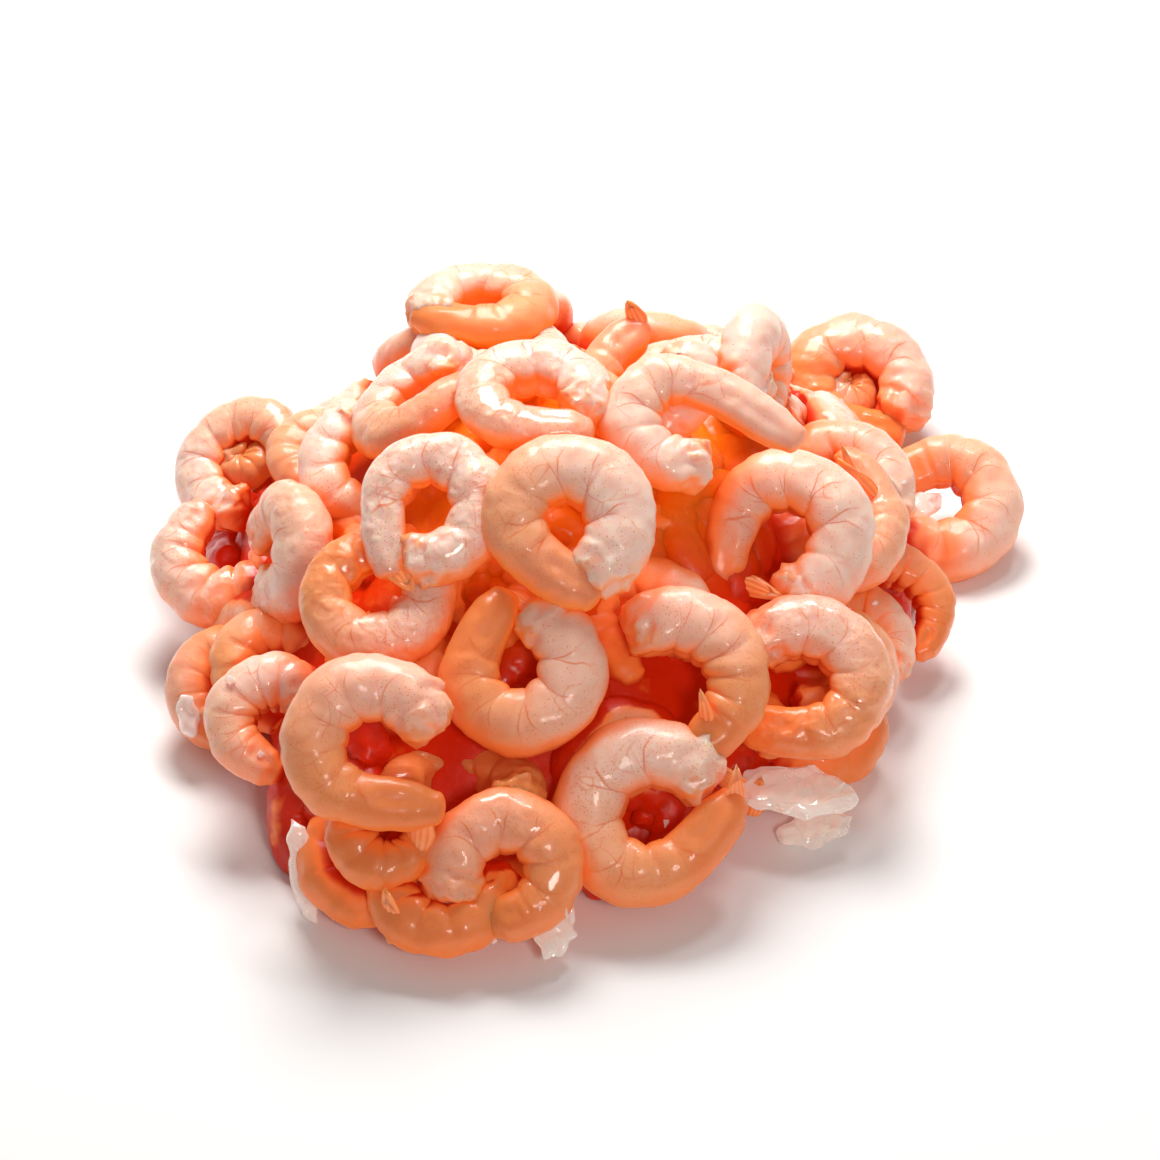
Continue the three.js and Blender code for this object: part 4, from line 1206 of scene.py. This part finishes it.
@functools.lru_cache(maxsize=1)
def scatter_tree():
    """Puts a copy of a shape on each point, turned as the point says and sized at random."""
    tree = bpy.data.node_groups.new("Scatter on points", "GeometryNodeTree")
    sockets = {"Points": "Geometry", "Shape": "Object", "Material": "Material", "Smallest": "Float",
               "Largest": "Float", "Seed": "Int"}
    for name, kind in sockets.items():
        tree.interface.new_socket(name=name, in_out="INPUT", socket_type=f"NodeSocket{kind}")
    tree.interface.new_socket(name="Result", in_out="OUTPUT", socket_type="NodeSocketGeometry")
    given = tree.nodes.new("NodeGroupInput").outputs
    out = tree.nodes.new("NodeGroupOutput")
    shape = add(tree, "GeometryNodeObjectInfo", {"Object": given["Shape"], "As Instance": True})
    turn = add(tree, "GeometryNodeInputNamedAttribute", {"Name": "turn"}, data_type="FLOAT_VECTOR")
    turned = add(tree, "FunctionNodeEulerToRotation", {"Euler": turn.outputs["Attribute"]})
    sizes = tree.nodes.new("FunctionNodeRandomValue")
    for key, value in (("Min", given["Smallest"]), ("Max", given["Largest"])):
        tree.links.new(value, next(one for one in sizes.inputs if one.name == key and one.enabled))
    tree.links.new(given["Seed"], sizes.inputs["Seed"])
    size = next(one for one in sizes.outputs if one.enabled)
    copies = add(tree, "GeometryNodeInstanceOnPoints", {
        "Points": given["Points"], "Instance": shape.outputs["Geometry"],
        "Rotation": turned.outputs["Rotation"], "Scale": size,
    })
    real = add(tree, "GeometryNodeRealizeInstances", {"Geometry": copies.outputs["Instances"]})
    done = add(tree, "GeometryNodeSetMaterial", {"Geometry": real.outputs["Geometry"],
                                                 "Material": given["Material"]})
    tree.links.new(done.outputs["Geometry"], out.inputs["Result"])
    return tree


def scattered(name, points, turns, shape, material, sizes, seed):
    """Copies of a shape on points, as one plain mesh."""
    carrier = new_object(name, points, [], {}, material)
    layer = carrier.data.attributes.new("turn", "FLOAT_VECTOR", "POINT")
    layer.data.foreach_set("vector", np.asarray(turns, np.float32).ravel())
    modifier = carrier.modifiers.new("Scatter", "NODES")
    modifier.node_group = scatter_tree()
    known = {item.name: item.identifier for item in modifier.node_group.interface.items_tree
             if item.in_out == "INPUT"}
    for key, value in (("Shape", shape), ("Material", material), ("Smallest", sizes[0]),
                       ("Largest", sizes[1]), ("Seed", seed)):
        modifier[known[key]] = value
    graph = bpy.context.evaluated_depsgraph_get()
    carrier.update_tag()
    graph.update()
    mesh = bpy.data.meshes.new_from_object(carrier.evaluated_get(graph), depsgraph=graph)
    carrier.modifiers.remove(modifier)
    carrier.data = mesh
    mesh.name = name
    if not mesh.vertices:
        raise RuntimeError(f"{name}: nothing was scattered")
    bpy.data.objects.remove(shape, do_unlink=True)
    return carrier


def hull(corners, edge=0.0, layers=2, cuts=0):
    """Points and faces of a faceted lump with slightly melted edges and finely split faces."""
    lump = bmesh.new()
    for corner in corners:
        lump.verts.new(corner)
    made = bmesh.ops.convex_hull(lump, input=lump.verts)
    inside = [item for item in made["geom_interior"] + made["geom_unused"]
              if isinstance(item, bmesh.types.BMVert)]
    bmesh.ops.delete(lump, geom=inside, context="VERTS")
    bmesh.ops.dissolve_limit(lump, angle_limit=math.radians(6), verts=lump.verts, edges=lump.edges)
    if edge:
        bmesh.ops.bevel(lump, geom=lump.edges[:], offset=edge, segments=layers, affect="EDGES",
                        profile=0.6, clamp_overlap=True)
    bmesh.ops.triangulate(lump, faces=lump.faces)
    if cuts:
        bmesh.ops.subdivide_edges(lump, edges=lump.edges[:], cuts=cuts, use_grid_fill=True)
        bmesh.ops.triangulate(lump, faces=lump.faces)
    bmesh.ops.recalc_face_normals(lump, faces=lump.faces)
    lump.verts.index_update()
    points = np.array([list(vertex.co) for vertex in lump.verts])
    faces = [tuple(vertex.index for vertex in face.verts) for face in lump.faces]
    lump.free()
    return points, faces


def euler_of(plane):
    """The turn that takes the axes to a plane's right, up and normal."""
    return list(Matrix(plane.T.tolist()).to_euler())


def top_of_heap(across, up):
    """The highest place on the slanted line that is still inside a shrimp."""
    at, size = all_balls()
    away = at - pictured(across, up)
    along = away @ TOWARD
    apart = np.linalg.norm(away - along[:, None] * TOWARD, axis=1)
    hit = apart < size
    if not hit.any():
        return rest_on_line(across, up)
    far = along[hit] + np.sqrt(size[hit] ** 2 - apart[hit] ** 2)
    return pictured(across, up) + TOWARD * far.max()


def make_seen(name, lowest, highest):
    """One piece of the shrimp that show between two heights of the picture."""
    relief = bpy.context.scene.heap_relief
    ups = [row[2] for row in SEEN]
    chosen = [(index, shrimp) for index, shrimp in enumerate(laid_heap().shrimp[:len(SEEN)])
              if lowest <= ups[index] < highest]
    shrimp_piece(name, chosen, relief.rings, relief.sides)


class HEAP_OT_front(bpy.types.Operator):
    """Makes the shrimp that show at the foot and the front"""
    bl_idname = "heap.front_shrimp"
    bl_label = "Front shrimp"

    def execute(self, context):
        make_seen("shrimp_front", -math.inf, FRONT_UNDER)
        return {"FINISHED"}


class HEAP_OT_middle(bpy.types.Operator):
    """Makes the shrimp that show in the middle"""
    bl_idname = "heap.middle_shrimp"
    bl_label = "Middle shrimp"

    def execute(self, context):
        make_seen("shrimp_middle", FRONT_UNDER, BACK_OVER)
        return {"FINISHED"}


class HEAP_OT_back(bpy.types.Operator):
    """Makes the shrimp that show at the top and the back"""
    bl_idname = "heap.back_shrimp"
    bl_label = "Back shrimp"

    def execute(self, context):
        make_seen("shrimp_back", BACK_OVER, math.inf)
        return {"FINISHED"}


class HEAP_OT_fill(bpy.types.Operator):
    """Makes the shrimp of the back and round the foot"""
    bl_idname = "heap.fill_shrimp"
    bl_label = "Filling shrimp"

    def execute(self, context):
        heap = laid_heap()
        chosen = list(enumerate(heap.shrimp[len(SEEN):] + behind_holes(), len(SEEN)))
        shrimp_piece("shrimp_fill", chosen, *FILL_GRID)
        return {"FINISHED"}


class HEAP_OT_under(bpy.types.Operator):
    """Scatters the layer of shrimp that shows in the gaps"""
    bl_idname = "heap.under_layer"
    bl_label = "Layer underneath"

    def execute(self, context):
        flat = np.array([[1.0, 0, 0], [0, 1.0, 0], [0, 0, 1.0]])
        shrimp = {"curl": UNDER_CURL, "plane": flat, "centre": np.zeros(3)}
        relief = context.scene.heap_relief
        points, faces, values = shrimp_surface(shrimp, UNDER["seed"], *UNDER_GRID, relief)
        values.update({key: np.full(len(points), value) for key, value in UNDER["looks"].items()})
        shape = new_object("curl", points * MM, faces, values, flesh_material())
        rows = layer_underneath()
        places = in_frame(np.array([row["centre"] for row in rows]))
        turns = [euler_of(row["plane"]) for row in rows]
        piece = scattered("shrimp_under", places, turns, shape, flesh_material(), UNDER["sizes"],
                          UNDER["seed"])
        points = read_rows(piece.data.vertices, "co")
        points[:, 2] = np.maximum(points[:, 2], 0)
        piece.data.vertices.foreach_set("co", points.ravel())
        piece.data.update()
        add_painted_shade(piece)
        dress(piece, HEAP)
        return {"FINISHED"}


class HEAP_OT_core(bpy.types.Operator):
    """Makes the deep mass under all the shrimp"""
    bl_idname = "heap.core"
    bl_label = "Core"

    def execute(self, context):
        sectors, rings = CORE["sectors"], CORE["rings"]
        angle = 2 * math.pi * np.arange(sectors) / sectors
        out = np.linspace(0, 1, rings)[1:]
        far = out[:, None] * (reach(angle) - CORE["inset"])
        x = MOUND_MIDDLE[0] + far * np.cos(angle)
        y = MOUND_MIDDLE[1] + far * np.sin(angle)
        z = mound(x, y) - CORE["depth"]
        points = np.stack([x, y, z], axis=-1).reshape(-1, 3)
        points[:, 2] += CORE["lumps"] * waves(points, CORE["seed"], CORE["wave"])
        points[:, 2] = np.maximum(points[:, 2], CORE["edge"])
        points = points.reshape(rings - 1, sectors, 3)
        foot = points[-1] * [1, 1, 0]
        peak = np.array([[*MOUND_MIDDLE, points[0, :, 2].mean()]])
        grid = np.concatenate([np.repeat(peak[None], sectors, axis=1), points, foot[None],
                               np.repeat((peak * [1, 1, 0])[None], sectors, axis=1)])
        flat, faces, _ = grid_mesh(grid, {}, len(grid), sectors, False)
        piece = new_object("heap_core", in_frame(flat), faces, {}, depth_material())
        dress(piece, HEAP)
        return {"FINISHED"}


def fin_points(row):
    """Points and faces of one thin ribbed blade, in mm, and which points lie on a rib."""
    across_at, up_at, clock, lean, tilt, length, width, ribs = row
    root = top_of_heap(across_at, up_at) - TOWARD * FIN_SUNK
    angle, leaned, tipped = math.radians(clock), math.radians(lean), math.radians(tilt)
    forward = RIGHT * math.cos(angle) + UP * math.sin(angle)
    facing = TOWARD * math.cos(leaned) - forward * math.sin(leaned)
    forward = forward * math.cos(leaned) + TOWARD * math.sin(leaned)
    sideways = np.cross(facing, forward)
    up = facing * math.cos(tipped) + sideways * math.sin(tipped)
    side = sideways * math.cos(tipped) - facing * math.sin(tipped)
    along = np.linspace(0, 1, FIN_GRID[0])[:, None]
    across = np.linspace(-1, 1, FIN_GRID[1])[None]
    half = width / 2 * (1 - along) ** 0.55 * (0.5 + 0.5 * np.minimum(along / 0.35, 1))
    ribbed = np.cos(math.pi * ribs * across)
    bend = length * (0.14 * along ** 2 - 0.12 * across ** 2 * (1 - along))
    rise = bend + FIN_RIB * ribbed * np.sqrt(along)
    reached = along * (1 + FIN_NOTCH * (ribbed - 1) * along * np.abs(across) ** 0.5)
    middle = (root + forward * (reached * length)[..., None] + side * (half * across)[..., None]
              + up * rise[..., None])
    thick = FIN_THICK * (1 - 0.75 * np.abs(across) ** 3) * (1 - 0.6 * along)
    top = middle + up * thick[..., None]
    under = middle - up * thick[..., None]
    rows, columns = FIN_GRID
    index = np.arange(rows * columns).reshape(rows, columns)
    faces = []
    for low, flip in ((0, False), (rows * columns, True)):
        quads = np.stack([index[:-1, :-1], index[1:, :-1], index[1:, 1:], index[:-1, 1:]],
                         axis=-1).reshape(-1, 4) + low
        faces += [tuple(quad[::-1] if not flip else quad) for quad in quads.tolist()]
    rim = np.concatenate([index[0, :], index[1:, -1], index[-1, -2::-1], index[-2:0:-1, 0]]).tolist()
    shift = rows * columns
    for a, b in zip(rim, rim[1:] + rim[:1]):
        faces.append((a, b, b + shift, a + shift))
    points = np.concatenate([top.reshape(-1, 3), under.reshape(-1, 3)])
    rib = np.tile(np.broadcast_to((ribbed + 1) / 2, top.shape[:2]).reshape(-1), 2)
    return points, faces, rib


class HEAP_OT_fins(bpy.types.Operator):
    """Makes the bits of tail shell and fins that are left on some shrimp"""
    bl_idname = "heap.tail_fins"
    bl_label = "Tail fins"

    def execute(self, context):
        points, faces, ribs, start = [], [], [], 0
        for row in FINS:
            own, own_faces, rib = fin_points(row)
            own[:, 2] = np.maximum(own[:, 2], FIN_LIFT)
            points.append(own)
            ribs.append(rib)
            faces += [tuple(corner + start for corner in face) for face in own_faces]
            start += len(own)
        piece = new_object("tail_fins", in_frame(np.vstack(points)), faces,
                           {"rib": np.concatenate(ribs)}, shell_material())
        solid = bmesh.new()
        solid.from_mesh(piece.data)
        bmesh.ops.recalc_face_normals(solid, faces=solid.faces)
        solid.to_mesh(piece.data)
        solid.free()
        dress(piece, HEAP)
        return {"FINISHED"}


class HEAP_OT_flakes(bpy.types.Operator):
    """Makes the slivers of flake ice"""
    bl_idname = "heap.ice_flakes"
    bl_label = "Ice flakes"

    def execute(self, context):
        for index, (node, across, up, height, tip, clock, turn, *size) in enumerate(FLAKES):
            draw = np.random.default_rng(FLAKE["seed"] + index)
            shares = 2 * math.pi * np.array(FLAKE["corners"])
            corners = []
            for level in FLAKE["levels"]:
                inward = 1 - 2 * FLAKE["slope"] * abs(level) ** 1.5 * 1.4
                ring = np.column_stack([np.cos(shares), np.sin(shares)]) * 0.5 * inward
                ring += draw.uniform(-FLAKE["ragged"], FLAKE["ragged"], ring.shape)
                drop = level * draw.uniform(0.8, 1.0, (len(ring), 1))
                corners.append(np.hstack([ring, drop]))
            corners = np.vstack(corners) * size
            spin = math.radians(turn)
            along = np.array([
                [math.cos(spin), math.sin(spin), 0],
                [-math.sin(spin), math.cos(spin), 0],
                [0, 0, 1],
            ])
            start = pictured(across, up)
            centre = start + TOWARD * (height - start[2]) / TOWARD[2]
            placed = corners @ along @ plane_facing(tip, clock) + centre
            points, faces = hull(placed.tolist(), FLAKE["edge"], cuts=FLAKE["cuts"])
            crush = [waves(points, FLAKE["seed"] + 10 * index + axis, FLAKE["wave"]) for axis in range(3)]
            points = points + FLAKE["crush"] * np.column_stack(crush)
            points[:, 2] = np.maximum(points[:, 2], 0)
            name = node.replace("ice_flake", "flake")
            piece = new_object(name, in_frame(points), faces, {}, ice_material())
            piece.data.shade_flat()
            dress(piece, node, slot="ice")
        return {"FINISHED"}


class HEAP_OT_chips(bpy.types.Operator):
    """Scatters splinters of ice over the shrimp"""
    bl_idname = "heap.ice_chips"
    bl_label = "Ice chips"

    def execute(self, context):
        draw = np.random.default_rng(CHIP["seed"])
        corners = draw.normal(size=(14, 3))
        corners /= np.linalg.norm(corners, axis=1)[:, None]
        points, faces = hull((corners * CHIP["size"]).tolist(), CHIP["edge"])
        shape = new_object("splinter", points * MM, faces, {}, ice_material())
        shape.data.shade_flat()
        places = in_frame(np.array([top_of_heap(across, up) for across, up in CHIP["at"]]))
        turns = draw.uniform(0, 2 * math.pi, (len(places), 3))
        piece = scattered("ice_chips", places, turns, shape, ice_material(), CHIP["sizes"], CHIP["seed"])
        dress(piece, HEAP, slot="ice")
        return {"FINISHED"}


def aim(thing, target):
    """Turns a camera or light towards a point."""
    thing.rotation_euler = (Vector(target) - thing.location).to_track_quat("-Z", "Y").to_euler()


def area_light(name, at, target, power, size, colour):
    lamp = bpy.data.lights.new(name, "AREA")
    lamp.energy, lamp.shape, lamp.size, lamp.color = power, "DISK", size, colour
    made = bpy.data.objects.new(name, lamp)
    made.location = at
    bpy.context.scene.collection.objects.link(made)
    aim(made, target)


class HEAP_OT_stage(bpy.types.Operator):
    """Makes the floor, the light and the camera"""
    bl_idname = "heap.stage"
    bl_label = "Stage"

    def execute(self, context):
        scene, settings = context.scene, context.scene.heap_stage
        corners = np.array([[-1, -1, 0], [1, -1, 0], [1, 1, 0], [-1, 1, 0]]) * FLOOR_HALF
        floor = new_object("floor", corners, [(0, 1, 2, 3)], {}, floor_material())
        target = in_frame(np.array([0, 0, PICTURE_HEIGHT]))
        camera = bpy.data.objects.new("Camera", bpy.data.cameras.new("Camera"))
        camera.data.lens = settings.lens
        camera.data.clip_start = 0.05
        camera.location = target + TOWARD * settings.distance
        scene.collection.objects.link(camera)
        aim(camera, target)
        scene.camera = camera
        for name, lamp in LIGHTS.items():
            area_light(name, lamp["at"], target, getattr(settings, lamp["power"]), lamp["size"],
                       lamp["colour"])
        world = bpy.data.worlds.new("Studio")
        world.use_nodes = True
        background = world.node_tree.nodes["Background"]
        background.inputs["Color"].default_value = (1, 1, 1, 1)
        background.inputs["Strength"].default_value = settings.sky
        scene.world = world
        scene.view_settings.view_transform = "Standard"
        return {"FINISHED"}


class HEAP_PT_panel(bpy.types.Panel):
    """Lists the steps and their settings"""
    bl_label = "Cooked shrimp heap"
    bl_idname = "HEAP_PT_panel"
    bl_space_type = "VIEW_3D"
    bl_region_type = "UI"
    bl_category = "Shrimp"

    def draw(self, context):
        column = self.layout.column()
        for step in STEPS:
            column.operator(step.bl_idname)
        for group in (context.scene.heap_relief, context.scene.heap_colours, context.scene.heap_stage):
            box = self.layout.box()
            for key in group.bl_rna.properties.keys():
                if key not in ("rna_type", "name"):
                    box.prop(group, key)


STEPS = (HEAP_OT_core, HEAP_OT_under, HEAP_OT_fill, HEAP_OT_back, HEAP_OT_middle, HEAP_OT_front,
         HEAP_OT_fins, HEAP_OT_flakes, HEAP_OT_chips, HEAP_OT_stage)
SETTINGS = {"heap_relief": HeapRelief, "heap_colours": HeapColours, "heap_stage": HeapStage}


def register():
    for group in SETTINGS.values():
        bpy.utils.register_class(group)
    for step in (*STEPS, HEAP_PT_panel):
        bpy.utils.register_class(step)
    for name, group in SETTINGS.items():
        setattr(bpy.types.Scene, name, PointerProperty(type=group))


def unregister():
    for name in SETTINGS:
        delattr(bpy.types.Scene, name)
    for step in (HEAP_PT_panel, *reversed(STEPS), *SETTINGS.values()):
        bpy.utils.unregister_class(step)


def main():
    register()
    for step in STEPS:
        group, name = step.bl_idname.split(".")
        getattr(getattr(bpy.ops, group), name)()


if __name__ == "__main__":
    main()
